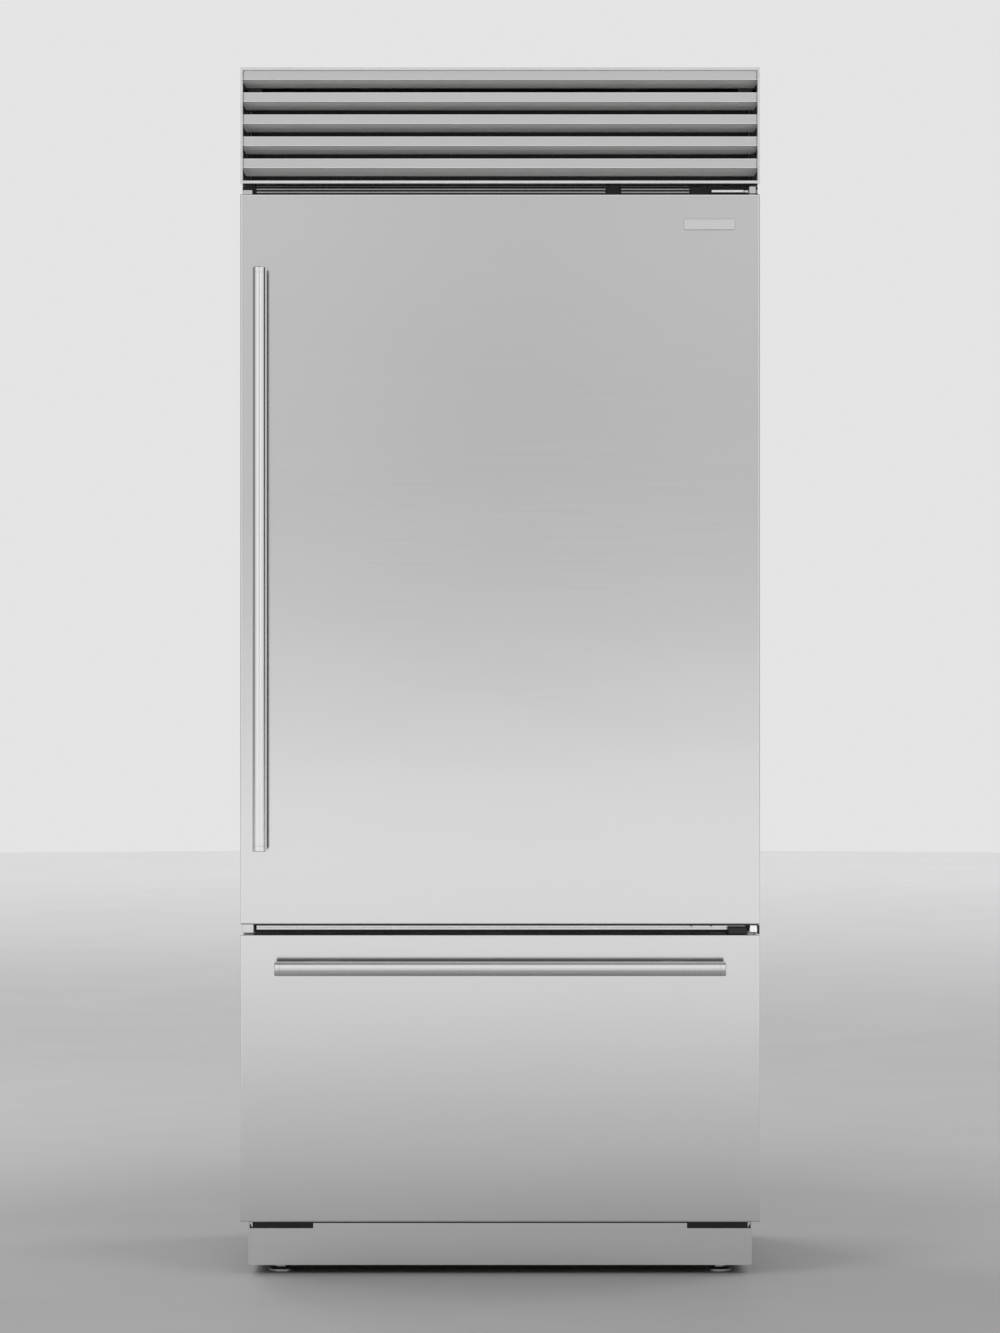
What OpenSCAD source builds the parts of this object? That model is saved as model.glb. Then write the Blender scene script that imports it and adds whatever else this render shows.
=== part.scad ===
// Built-in refrigerator: a louvred grille, one hinged door and a freezer drawer below it.
// Millimetres, +Z up, +X to the right, and the doors face -Y.
// The origin is on the floor, at the middle of the whole width and depth, with the handles counted.

/* [Overall size] */
// Width across the doors and the grille
body_w = 914; // [880:1:1000]
// Height from the floor to the top of the grille
body_h = 2134; // [2120:1:2200]
// Depth from the face of the doors to the back
body_d = 610; // [600:1:680]
// How far the doors stand past the cabinet box at each side
overlay = 10; // [9:0.5:12]
// Height of the base under the cabinet box
base_h = 100; // [96:1:104]
// How far the cabinet box stays below the top of the grille
top_drop = 14; // [10:1:20]

/* [Front] */
// Height of the grille
grille_h = 204; // [190:1:210]
// Gap between the grille and the door
grille_gap = 19; // [17:0.5:24]
// Height of the drawer front's lower edge above the floor
drawer_z = 103; // [101:0.5:112]
// Height of the drawer front
drawer_h = 505; // [495:1:515]
// Gap between the drawer front and the door
drawer_gap = 18.4; // [17:0.2:22]
// Thickness of the door and of the drawer front
door_t = 64; // [58:1:70]
// Space between the door's back and the cabinet frame, filled by the gasket
seal_t = 8; // [7.5:0.5:10]
// Radius of the outer edges of the door and drawer skins
skin_r = 2.4; // [1.6:0.1:4]

/* [Handles] */
// Distance from the door's face to the front of a handle
handle_out = 60; // [52:1:75]
// Outer radius of the handle tubes
tube_r = 12.7; // [10:0.1:16]
// Wall of the handle tubes
tube_wall = 1.5; // [1:0.1:2.5]
// Distance of the door handle's ends from the door's lower and upper edges
door_handle_gap = 131; // [90:1:300]
// Distance of the door handle's centre line from the door's left edge
door_handle_inset = 36; // [30:1:60]
// Distance of the drawer handle's ends from the sides of the drawer front
drawer_handle_gap = 62; // [40:1:200]
// Distance of the drawer handle's centre line from the drawer front's upper edge
drawer_handle_drop = 56; // [36:1:110]
// Distance of a post's centre from the end of its handle
post_inset = 86; // [60:1:120]
// Length of a post along its handle
post_l = 56; // [30:1:70]
// Width of a post across its handle
post_w = 14; // [10:1:18]
// Length of an end cap
cap_l = 10; // [6:1:16]

/* [Grille] */
// Number of louvres
louvre_n = 5; // [3:1:5]
// Height of a louvre's front face
louvre_face = 16.5; // [12:0.5:19]
// Drop of the flange under a louvre
louvre_drop = 12.6; // [8:0.2:15]
// Depth of that flange
louvre_depth = 20; // [14:1:28]
// Width of the frame round the louvres, seen from the front
grille_rim = 5; // [4:0.5:8]
// Depth of the frame's sides
grille_d = 66; // [60:1:68]
// Thickness of the grille's sheet
grille_t = 1.5; // [1:0.1:2]
// Radius of the grille's pivot pins
pivot_r = 3; // [2:0.5:4]

/* [Kick plate and base] */
// How far the kick plate stands behind the door's face
kick_back = 75; // [74.5:0.5:84]
// Height of the kick plate's lower edge
kick_z = 17; // [10:1:25]
// Length of the notches at both ends of the kick plate's top edge
notch_l = 110; // [80:1:140]
// Depth of those notches
notch_h = 17.4; // [10:0.2:22]
// Width of the strip that stays outside a notch
notch_rim = 2.5; // [2:0.5:6]
// Radius of the kick plate's corners
kick_r = 5; // [2:1:8]
// Radius of the foot of a levelling leg
foot_r = 22; // [16:1:26]
// Radius of a levelling leg's stud
stud_r = 8; // [6:0.5:10]
// Radius of a rear roller
roller_r = 24; // [18:1:30]

/* [Walls] */
// Thickness of the cabinet's outer sheet
sheet_t = 1.5; // [1:0.1:2]
// Thickness of the face frame's sheet
frame_t = 1.5; // [1:0.1:2]
// Thickness of the liners
liner_t = 2.5; // [2:0.1:3]
// Thickness of the door and drawer skins
skin_t = 1.2; // [0.8:0.1:1.6]
// Foam in the side walls
side_foam = 50; // [45:1:60]
// Foam in the back wall
back_foam = 55; // [45:1:65]
// Foam over the fridge
top_foam = 52; // [45:1:60]
// Foam under the freezer
floor_foam = 50; // [45:1:52]
// Height of the wall between the fridge and the freezer
mullion_h = 102; // [98:1:110]
// Height of the machine compartment's clear space
machine_h = 193; // [190:1:200]
// Depth of the duct behind the duct covers
duct_d = 36; // [34:1:40]

/* [Door fittings] */
// Depth of the ridges round the door's liner
ridge_d = 61; // [50:1:64]
// Width of those ridges
ridge_w = 26; // [22:1:32]
// Distance from the door's side to the ridges
ridge_inset = 85; // [83:1:95]
// Depth of a door bin
bin_d = 96; // [80:1:98]
// Height of a door bin
bin_h = 96; // [80:1:110]
// Wall of the bins, crispers and boxes
tub_t = 3; // [2.4:0.1:4]
// Height of the lowest door bin over the ridge under it
bin_z = 8; // [4:1:20]
// Height of the dairy box
dairy_h = 112; // [96:1:124]
// Distance of the hinge pins from the door's side and from its face
hinge_in = 12.4; // [12:0.1:14]
// Radius of the hinge pins
hinge_pin_r = 5; // [4:0.5:5.5]

/* [Shelves and crispers] */
// Height of the lowest shelf over the fridge floor
shelf_z = 512; // [490:1:530]
// Distance from one shelf to the next
shelf_pitch = 200; // [170:1:210]
// Thickness of the shelf glass
glass_t = 5; // [4:0.5:6]
// Height of the crispers' glass over the fridge floor
crisper_top = 282; // [260:1:300]
// Height of a crisper
crisper_h = 232; // [200:1:240]
// Height of the deli drawer
deli_h = 72; // [60:1:90]

/* [Freezer fittings] */
// Height of the lower bin
lower_bin_h = 208; // [180:1:220]
// Space behind the lower bin
lower_bin_gap = 35; // [20:1:60]
// Height of a runner
runner_h = 45; // [40:1:50]
// Space behind the runners
runner_gap = 15; // [8:1:30]
// How far the upper basket slides back over the lower bin
basket_travel = 100; // [80:1:120]
// Height of the upper basket and of the ice bin
basket_h = 84; // [70:1:86]
// Share of the width that the ice bin takes
ice_share = 0.34; // [0.3:0.01:0.4]
// Length of the ice bin
ice_bin_l = 320; // [290:1:340]

/* [Machine compartment] */
// Radius of a compressor
compressor_r = 74; // [60:1:76]
// Height of a compressor
compressor_h = 160; // [130:1:165]
// Radius of the condenser fan
fan_r = 76; // [60:1:78]
// Number of the condenser's fins
fin_n = 28; // [16:1:36]
// Width of the control box
box_w = 240; // [200:1:244]
// Depth of the control box
box_d = 70; // [50:1:90]
// Height of the control box
box_h = 96; // [70:1:110]

/* [Hidden] */

// Clearances: between flat faces that slide, round a turning pin, and past the end of a cut.
slide_gap = 0.4;
seat_gap = 0.3;
pin_gap = 0.05;
over = 1;
round_fn = 64;
small_fn = 32;

// Planes from front to back.
back_y = (body_d + handle_out) / 2;
face_y = back_y - body_d;
handle_y = face_y - handle_out + tube_r;
pan_y = face_y + door_t - liner_t;
door_back = face_y + door_t;
cab_y = door_back + seal_t;
kick_y = face_y + kick_back;
shell_y = cab_y + frame_t;
foam_back = back_y - sheet_t;
cavity_back = foam_back - back_foam - liner_t;
duct_y = cavity_back - duct_d;

// Planes from side to side.
half_w = body_w / 2;
cab_x = half_w - overlay;
wall_x = cab_x - sheet_t;
cavity_x = wall_x - side_foam - liner_t;
stile_x = half_w - 1.2;
seal_x = half_w - 23;
seal_w = 22;
ridge_x = half_w - ridge_inset;

// Heights.
grille_z = body_h - grille_h;
door_z0 = drawer_z + drawer_h + drawer_gap;
door_z1 = grille_z - grille_gap;
drawer_z1 = drawer_z + drawer_h;
mid_z = drawer_z1 + drawer_gap / 2;
door_handle_z = door_z0 + door_handle_gap;
door_handle_l = door_z1 - door_handle_gap - door_handle_z;
drawer_handle_l = body_w - 2 * drawer_handle_gap;
drawer_handle_z = drawer_z1 - drawer_handle_drop;
cab_top = body_h - top_drop;
deck_z = cab_top - sheet_t - machine_h;
tray_z = deck_z - sheet_t;
fridge_z0 = mid_z + mullion_h / 2;
fridge_z1 = tray_z - top_foam - liner_t;
freezer_z0 = base_h + floor_foam + liner_t;
freezer_z1 = mid_z - mullion_h / 2;

// Openings of the base frame, the hinges and the grille's pivots.
leg_x = cab_x - 57;
leg_y = shell_y + 52;
roller_y = back_y - 66;
axle_r = 5;
hinge_x = half_w - hinge_in;
hinge_y = face_y + hinge_in + 1.6;
hinge_t = 6;
hinge_arm_l = 72;
bush_t = 3;
hinge_gap_top = door_z1 + (grille_gap - hinge_t) / 2 - 4;
hinge_gap_low = mid_z - hinge_t / 2;
pivot_y = cab_y - 10;
pivot_z = cab_top - 12;
cheek_cut = 34;
ear_x = cab_x - 1;
ear_t = 4;

// Fixing holes for the cabinets beside it and the wall behind it.
side_fix_r = 3;
side_fix_y = 300;
wall_fix_r = 4.5;
wall_fix_x = 500;
wall_fix_dz = 80;
fix_z = deck_z + machine_h * 0.56;

// Fridge fittings.
shelf_front = door_back + 121;
shelf_t = 18;
shelf_n = 3;
shelf_x = cavity_x - 8;
track_x = 250;
track_w = 18;
track_d = 12;
rail_w = 18;
crisper_front = door_back + 118;
crisper_l = duct_y - crisper_front - 22;
crisper_rim = fridge_z0 + crisper_h;
deli_x = track_x - 20;
deli_z = fridge_z0 + shelf_z - shelf_t - 15 - deli_h;
panel_y0 = door_back + 122;
panel_d = 120;
panel_x = cavity_x - 60;
panel_z0 = fridge_z1 - 42;
lens_inset = 20;
lens_y = [panel_y0 + 24, panel_y0 + 70];
lens_drop = 4;
button_r = 7;
button_x = 40;
button_z = panel_z0 + 24;
guard_r = 56;
fridge_fan_z = fridge_z1 - 130;
freezer_fan_z = freezer_z1 - 62;
fridge_coil_x = 190;
fridge_coil_h = 240;
fridge_coil_gap = 34;
freezer_coil_x = 230;
freezer_coil_h = 160;
freezer_coil_gap = 50;

// Door fittings.
ridge_z0 = door_z0 + 64;
ridge_z1 = door_z1 - 61;
bin_x = ridge_x - ridge_w - slide_gap;
bin_floor = ridge_z0 + ridge_w + bin_z;
bin_n = 4;
dairy_z = ridge_z1 - ridge_w - dairy_h - 9;
bin_pitch = (dairy_z - bin_floor) / bin_n;
lid_pin_r = 3;
lid_y = door_back + bin_d - 6;
lid_z = dairy_z + dairy_h - 7;

// Freezer fittings.
runner_x = cavity_x - 13;
runner_z = freezer_z0 + 178;
runner_y = cab_y + 8;
runner_l = duct_y - runner_gap - runner_y;
lower_bin_y = cab_y + 13;
lower_bin_l = duct_y - lower_bin_gap - lower_bin_y;
lower_bin_z = freezer_z0 + 12;
lower_rim_z = lower_bin_z + lower_bin_h;
basket_z = lower_rim_z + seat_gap;
basket_y = cab_y + 18;
basket_l = lower_bin_l - basket_travel - 10;
basket_split = -runner_x + 8 + ice_share * 2 * runner_x;
maker_z = basket_z + basket_h + 10;
maker_x0 = -cavity_x + 18;
maker_w = 120;
maker_l = 200;
maker_y0 = duct_y - 60 - maker_l;
arm_y = maker_y0 + 60;
arm_z = maker_z + 46;

// Machine compartment.
fan_x = -220;
fan_z = deck_z + machine_h / 2;
condenser_y = cab_y + 53;
condenser_w = 330;
condenser_h = 168;
condenser_d = 40;
shroud_y = condenser_y + condenser_d;
motor_y = shroud_y + 62;
motor_r = 26;
shaft_r = 3;
pipe_r = 4;
compressor_set = 268;
compressor_y = cab_y + compressor_set;
compressor_x = [120, 320];
box_x = 130;
box_y = cab_y + 60;
box_lid_t = 3;

// Power inlet in the back panel: its body passes through the panel, and its flange lies on the inside.
inlet_x = -330;
inlet_z = deck_z + 77;
inlet_w = 28;
inlet_h = 20;
inlet_d = 30;
inlet_wall = 2;
inlet_flange = 8;

// Rows of equal spaces: the position of the ith of n, between a and b.
function spread(i, n, a, b) = a + (b - a) * i / (n - 1);

// A block from one corner to the opposite one.
module block(low, high) {
    translate(low) cube(high - low);
}

// A flat outline in x and z, given thickness from y0 to y1.
module slab_y(y0, y1) {
    translate([0, y1, 0]) rotate([90, 0, 0]) linear_extrude(y1 - y0) children();
}

// A flat outline in y and z, given thickness from x0 to x1.
module slab_x(x0, x1) {
    translate([x0, 0, 0]) rotate([90, 0, 90]) linear_extrude(x1 - x0) children();
}

// A flat outline in x and y, given thickness from z0 to z1.
module slab_z(z0, z1) {
    translate([0, 0, z0]) linear_extrude(z1 - z0) children();
}

// A rod or bore along x, y or z.
module rod_x(x0, x1, r) {
    translate([x0, 0, 0]) rotate([0, 90, 0]) cylinder(r = r, h = x1 - x0, $fn = round_fn);
}
module rod_y(y0, y1, r) {
    translate([0, y1, 0]) rotate([90, 0, 0]) cylinder(r = r, h = y1 - y0, $fn = round_fn);
}
module rod_z(z0, z1, r) {
    translate([0, 0, z0]) cylinder(r = r, h = z1 - z0, $fn = round_fn);
}

// The same piece on both sides.
module both_sides() {
    children();
    mirror([1, 0, 0]) children();
}

// A rectangle with round corners, in the plane of the page.
module round_rect(x0, z0, x1, z1, r) {
    translate([x0 + r, z0]) square([x1 - x0 - 2 * r, z1 - z0]);
    translate([x0, z0 + r]) square([x1 - x0, z1 - z0 - 2 * r]);
    for (x = [x0 + r, x1 - r], z = [z0 + r, z1 - r])
        translate([x, z]) circle(r = r, $fn = small_fn);
}

// A tub that is open on top: outer corners, and the wall.
module tub(low, high, wall) {
    difference() {
        slab_z(low.z, high.z) round_rect(low.x, low.y, high.x, high.y, 8);
        slab_z(low.z + wall, high.z + over)
            round_rect(low.x + wall, low.y + wall, high.x - wall, high.y - wall, 8 - wall);
    }
}

// Cabinet

module cabinet_wrapper() {
    color("lightslategray") difference() {
        block([-cab_x, shell_y, base_h], [cab_x, foam_back, cab_top]);
        block([-wall_x, shell_y - over, base_h - over], [wall_x, foam_back + over, cab_top - sheet_t]);
        for (y = [0, side_fix_y]) translate([0, shell_y + 90 + y, fix_z]) rod_x(-half_w, half_w, side_fix_r);
    }
}

// Back panel: a sheet with shallow swages across it, fixing holes and a cut-out for the power inlet.
module back_panel() {
    swages = 6;
    swage = [half_w * 0.8, 6];
    swage_end = 200;
    swage_d = sheet_t / 2;
    color("silver") difference() {
        slab_y(foam_back, back_y)
            round_rect(-cab_x, base_h, cab_x, cab_top, 4);
        for (x = [-0.5, 0.5], z = [-0.5, 0.5])
            translate([x * wall_fix_x, 0, fix_z + z * wall_fix_dz])
                rod_y(foam_back - over, back_y + over, wall_fix_r);
        for (i = [0 : swages - 1])
            translate([0, 0, spread(i, swages, base_h + swage_end, tray_z - swage_end)])
                slab_y(back_y - swage_d, back_y + over)
                    round_rect(-swage.x, -swage.y, swage.x, swage.y, swage.y - seat_gap);
        translate([inlet_x, 0, inlet_z]) slab_y(foam_back - over, back_y + over)
            round_rect(-inlet_w / 2 - seat_gap, -inlet_h / 2 - seat_gap, inlet_w / 2 + seat_gap,
                       inlet_h / 2 + seat_gap, 3);
    }
}

// Steel tray under the machine compartment, with a lip all round that stiffens it.
module machine_tray() {
    lip = 12;
    color("silver") difference() {
        block([-wall_x, shell_y, tray_z], [wall_x, foam_back, deck_z + lip]);
        block([-wall_x + sheet_t, shell_y + sheet_t, deck_z],
              [wall_x - sheet_t, foam_back - sheet_t, deck_z + lip + over]);
    }
}

module cabinet_foam() {
    lined_x = cavity_x + liner_t;
    lined_back = cavity_back + liner_t;
    color("khaki") difference() {
        block([-wall_x, shell_y, base_h], [wall_x, foam_back, tray_z]);
        block([-lined_x, shell_y - over, fridge_z0 - liner_t], [lined_x, lined_back, fridge_z1 + liner_t]);
        block([-lined_x, shell_y - over, freezer_z0 - liner_t], [lined_x, lined_back, freezer_z1 + liner_t]);
    }
}

// Sheet frame round the two compartments and the machine compartment, with two ears for the grille.
module face_frame() {
    color("gainsboro") {
        slab_y(cab_y, shell_y) difference() {
            union() {
                translate([-stile_x, base_h]) square([2 * stile_x, deck_z + 4 - base_h]);
                translate([-cab_x - 5, deck_z]) square([2 * cab_x + 10, cab_top - deck_z]);
            }
            translate([-cavity_x, freezer_z0]) square([2 * cavity_x, freezer_z1 - freezer_z0]);
            translate([-cavity_x, fridge_z0]) square([2 * cavity_x, fridge_z1 - fridge_z0]);
            translate([-cab_x + 16, deck_z + 12]) square([2 * cab_x - 32, cab_top - deck_z - 18]);
        }
        both_sides() difference() {
            union() {
                translate([0, pivot_y, pivot_z]) rod_x(ear_x, ear_x + ear_t, 9);
                block([ear_x, pivot_y, pivot_z - 9], [ear_x + ear_t, cab_y + over, pivot_z + 9]);
            }
            translate([0, pivot_y, pivot_z]) rod_x(ear_x - over, ear_x + ear_t + over, pivot_r + pin_gap);
        }
    }
}

// Vacuum-formed liner, open to the front, with its wall outside the cavity.
module liner(z0, z1) {
    difference() {
        block([-cavity_x - liner_t, shell_y, z0 - liner_t],
              [cavity_x + liner_t, cavity_back + liner_t, z1 + liner_t]);
        block([-cavity_x, shell_y - over, z0], [cavity_x, cavity_back, z1]);
    }
}

module fridge_liner() {
    color("whitesmoke") liner(fridge_z0, fridge_z1);
}

module freezer_liner() {
    color("whitesmoke") liner(freezer_z0, freezer_z1);
}

// Base

// Welded frame under the cabinet: channels at the sides, rails across, bosses for the legs and
// forks for the rollers.
module base_frame() {
    rail_t = 2.5;
    rail_x = wall_x - 1;
    rail_top = base_h;
    front_y = kick_y + sheet_t;
    rear_y = foam_back - 4;
    plate_z = kick_z + 46;
    boss_h = 34;
    fork_gap = 12;
    color("dimgray") {
        difference() {
            union() {
                both_sides() difference() {
                    block([rail_x - 26, front_y, kick_z], [rail_x, rear_y, rail_top]);
                    block([rail_x - 26 - over, front_y - over, kick_z + rail_t],
                          [rail_x - rail_t, rear_y + over, rail_top - rail_t]);
                }
                difference() {
                    block([-rail_x, front_y, kick_z], [rail_x, front_y + 26, kick_z + 58]);
                    block([-rail_x - over, front_y + rail_t, kick_z + rail_t],
                          [rail_x + over, front_y + 26 + over, kick_z + 58 - rail_t]);
                }
                block([-rail_x, rear_y - rail_t, kick_z], [rail_x, rear_y, rail_top]);
                both_sides() block([leg_x - 40, front_y, plate_z], [rail_x, leg_y + 40, plate_z + 6]);
                both_sides() translate([leg_x, leg_y, 0])
                    rod_z(plate_z - 6, plate_z + boss_h - 6, stud_r + 5);
                both_sides() for (side = [-1, 1])
                    translate([leg_x + side * (fork_gap + 2), roller_y, 0])
                        block([-2, -22, roller_r - 9], [2, rear_y - roller_y, rail_top]);
                both_sides() translate([0, roller_y, roller_r])
                    rod_x(leg_x - fork_gap - 6, leg_x + fork_gap + 6, axle_r);
            }
            both_sides() translate([leg_x, leg_y, 0]) rod_z(0, base_h + over, stud_r + pin_gap);
        }
    }
}

// Levelling leg: a flat foot, a hexagon for the wrench and a stud in the frame's boss.
module leg(x) {
    color("silver") translate([x, leg_y, 0]) {
        rotate_extrude($fn = round_fn)
            polygon([[0, 0], [foot_r - 1.5, 0], [foot_r, 1.5], [foot_r, 5], [stud_r + 4, 9], [0, 9]]);
        translate([0, 0, 9 - over]) cylinder(r = stud_r + 5, h = 10 + over, $fn = 6);
        rod_z(19 - over, base_h - 6, stud_r);
    }
}

module leg_left() {
    leg(-leg_x);
}

module leg_right() {
    leg(leg_x);
}

module roller(x) {
    half = 10;
    color("darkslategray") translate([x, roller_y, roller_r])
        rotate([0, 90, 0]) rotate_extrude($fn = round_fn)
        polygon([[axle_r + pin_gap, -half], [roller_r * 0.5, -half], [roller_r * 0.5, 2 - half],
                 [roller_r - 2, 2 - half], [roller_r, 4 - half], [roller_r, half - 4],
                 [roller_r - 2, half - 2], [roller_r * 0.5, half - 2], [roller_r * 0.5, half],
                 [axle_r + pin_gap, half]]);
}

module roller_left() {
    roller(-leg_x);
}

module roller_right() {
    roller(leg_x);
}

// Kick plate: a folded sheet with two notches in its top edge.
module kick_plate() {
    flange = 14;
    top = base_h - 0.5;
    color("silver") {
        slab_y(kick_y, kick_y + sheet_t) difference() {
            round_rect(-cab_x, kick_z, cab_x, top, kick_r);
            both_sides() translate([cab_x - notch_rim - notch_l, top - notch_h])
                square([notch_l, notch_h + over]);
        }
        both_sides() block([cab_x - sheet_t, kick_y + sheet_t / 2, kick_z + kick_r],
                           [cab_x, kick_y + flange, top - kick_r]);
    }
}

// Grille

// Side of the grille: cut away behind its top, so that it can flip up, and rounded about the pivot.
module grille_cheek() {
    rear = face_y + grille_d;
    polygon([[face_y, grille_z], [rear, grille_z], [rear, pivot_z - 12], [rear - cheek_cut, body_h],
             [face_y, body_h]]);
    translate([pivot_y, pivot_z]) circle(r = 8, $fn = small_fn);
}

module grille_frame() {
    rim_t = 1.5;
    inner = half_w - grille_t / 2;
    color("silver") {
        slab_y(face_y, face_y + rim_t) difference() {
            round_rect(-half_w, grille_z, half_w, body_h, 2);
            translate([-half_w + grille_rim - 1, grille_z + grille_rim])
                square([body_w - 2 * grille_rim + 2, grille_h - 2 * grille_rim]);
        }
        both_sides() slab_x(half_w - grille_t, half_w) intersection() {
            grille_cheek();
            translate([face_y + rim_t / 2, grille_z]) square([grille_d + 20, grille_h]);
        }
        block([-inner, face_y + rim_t / 2, body_h - grille_t],
              [inner, face_y + grille_d - cheek_cut, body_h]);
        block([-inner, face_y + rim_t / 2, grille_z], [inner, cab_y - seat_gap, grille_z + grille_t]);
        both_sides() translate([0, pivot_y, pivot_z]) rod_x(ear_x - 1, inner, pivot_r);
    }
}

// Section of a louvre in y and z: a top lip, the upright face and the flange that slopes back and down.
module louvre_section() {
    t = grille_t;
    lip = 7;
    polygon([[0, 0], [lip, 0], [lip, -t], [t, -t], [t, -louvre_face + t * 0.3],
             [louvre_depth + t * 0.5, -louvre_face - louvre_drop + t * 0.6],
             [louvre_depth, -louvre_face - louvre_drop], [0, -louvre_face]]);
}

module grille_louvres() {
    pitch = (grille_h - 2 * grille_rim) / louvre_n;
    length = half_w - grille_t;
    mitre = 8;
    front = face_y + 2;
    color("silver") for (i = [0 : louvre_n - 1])
        translate([0, front, body_h - grille_rim - i * pitch]) difference() {
            slab_x(-length, length) louvre_section();
            both_sides() slab_z(-louvre_face - louvre_drop - over, -louvre_face - 0.2)
                polygon([[length - 1, grille_t], [length - mitre, louvre_depth + over],
                         [length + over, louvre_depth + over], [length + over, grille_t]]);
        }
}

// Door and drawer fronts

// Sheet pan: all its outer edges are round, and it is open to the back.
module front_pan(z0, z1) {
    difference() {
        intersection() {
            slab_z(z0, z1) front_outline(-half_w, half_w);
            slab_x(-half_w, half_w) mirror([1, -1]) front_outline(z0, z1);
        }
        block([-half_w + skin_t, face_y + skin_t, z0 + skin_t], [half_w - skin_t, pan_y + over, z1 - skin_t]);
    }
}

// Plan of a pan from a to b: square at the back, round at the front corners.
module front_outline(a, b) {
    r = skin_r;
    translate([a, face_y + r]) square([b - a, pan_y - face_y - r]);
    translate([a + r, face_y]) square([b - a - 2 * r, r + over]);
    for (x = [a + r, b - r]) translate([x, face_y + r]) circle(r = r, $fn = small_fn);
}

// Foam that fills a pan.
module front_core(z0, z1) {
    block([-half_w + skin_t, face_y + skin_t, z0 + skin_t], [half_w - skin_t, pan_y, z1 - skin_t]);
}

// Magnetic gasket: a wide foot, a narrow bellows and a magnet strip that meets the face frame.
module gasket(z0, z1) {
    depth = cab_y - seat_gap - door_back;
    foot = 2;
    magnet = 3;
    steps = [[0, foot, 0], [foot - over, depth - magnet + over, 4], [depth - magnet, depth, 0]];
    for (s = steps) slab_y(door_back + s[0], door_back + s[1]) difference() {
        translate([-seal_x + s[2], z0 + s[2]])
            square([2 * (seal_x - s[2]), z1 - z0 - 2 * s[2]]);
        translate([-seal_x + seal_w - s[2], z0 + seal_w - s[2]])
            square([2 * (seal_x - seal_w + s[2]), z1 - z0 - 2 * (seal_w - s[2])]);
    }
}

// Handle tube along z from 0, with a turned cap in each end.
module handle_bar(length) {
    bore = tube_r - tube_wall;
    spigot = bore + tube_wall / 4;
    cap = [[0, 0], [tube_r - 1, 0], [tube_r, 1], [tube_r, cap_l - 0.4], [tube_r - 0.6, cap_l],
           [spigot, cap_l], [spigot, cap_l + 14], [0, cap_l + 14]];
    rotate_extrude($fn = round_fn) translate([bore, cap_l]) square([tube_wall, length - 2 * cap_l]);
    rotate_extrude($fn = round_fn) polygon(cap);
    translate([0, 0, length]) mirror([0, 0, 1]) rotate_extrude($fn = round_fn) polygon(cap);
}

// Post of a handle, centred on z = 0: an oblong bar with round ends, hollowed to seat the tube.
module handle_post() {
    side = post_l / 2 - post_w / 2;
    difference() {
        slab_y(handle_y, face_y) {
            square([post_w, 2 * side], center = true);
            for (z = [-side, side]) translate([0, z]) circle(d = post_w, $fn = small_fn);
        }
        translate([0, handle_y, 0]) rod_z(-post_l, post_l, tube_r);
    }
}

module door_skin() {
    color("silver") difference() {
        front_pan(door_z0, door_z1);
        translate([hinge_x, hinge_y, 0])
            rod_z(door_z0 - over, door_z1 + over, hinge_pin_r + pin_gap + bush_t);
    }
}

module door_foam() {
    color("khaki") difference() {
        front_core(door_z0, door_z1);
        translate([hinge_x, hinge_y, 0]) {
            rod_z(door_z0, door_z0 + 34, hinge_pin_r + pin_gap + bush_t);
            rod_z(door_z1 - 34, door_z1, hinge_pin_r + pin_gap + bush_t);
        }
    }
}

// Bushes in the door's lower and upper edges: a sleeve in the door and a collar on the hinge plate.
module hinge_bushes() {
    bore = hinge_pin_r + pin_gap;
    low = hinge_gap_low + hinge_t + seat_gap;
    high = hinge_gap_top - seat_gap;
    color("dimgray") translate([hinge_x, hinge_y, 0]) {
        difference() {
            union() {
                rod_z(low, door_z0 + 34, bore + bush_t);
                rod_z(low, door_z0, bore + bush_t + 2);
            }
            rod_z(low - over, door_z0 + 34 + over, bore);
        }
        difference() {
            union() {
                rod_z(door_z1 - 34, high, bore + bush_t);
                rod_z(door_z1, high, bore + bush_t + 2);
            }
            rod_z(door_z1 - 34 - over, high + over, bore);
        }
    }
}

// Hinge: an arm from a foot on the face frame to the pin; the arm is round about the pin.
module hinge_plate(z) {
    arm_x = hinge_x - hinge_arm_l;
    foot_t = 4;
    foot_lip = 5;
    slab_z(z, z + hinge_t) {
        translate([hinge_x, hinge_y]) circle(r = 9, $fn = small_fn);
        polygon([[hinge_x - 9, hinge_y], [hinge_x + 9, hinge_y], [hinge_x + 7, cab_y], [arm_x, cab_y],
                 [arm_x, cab_y - 10], [hinge_x - 24, cab_y - 16]]);
    }
    block([arm_x, cab_y - foot_t, z - foot_lip], [hinge_x + 4, cab_y, z + hinge_t + foot_lip]);
}

module door_hinges() {
    color("gainsboro") {
        hinge_plate(hinge_gap_low);
        hinge_plate(hinge_gap_top);
        translate([hinge_x, hinge_y, 0]) {
            rod_z(hinge_gap_low + hinge_t - over, door_z0 + 30, hinge_pin_r);
            rod_z(door_z1 - 30, hinge_gap_top + over, hinge_pin_r);
        }
    }
}

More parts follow.
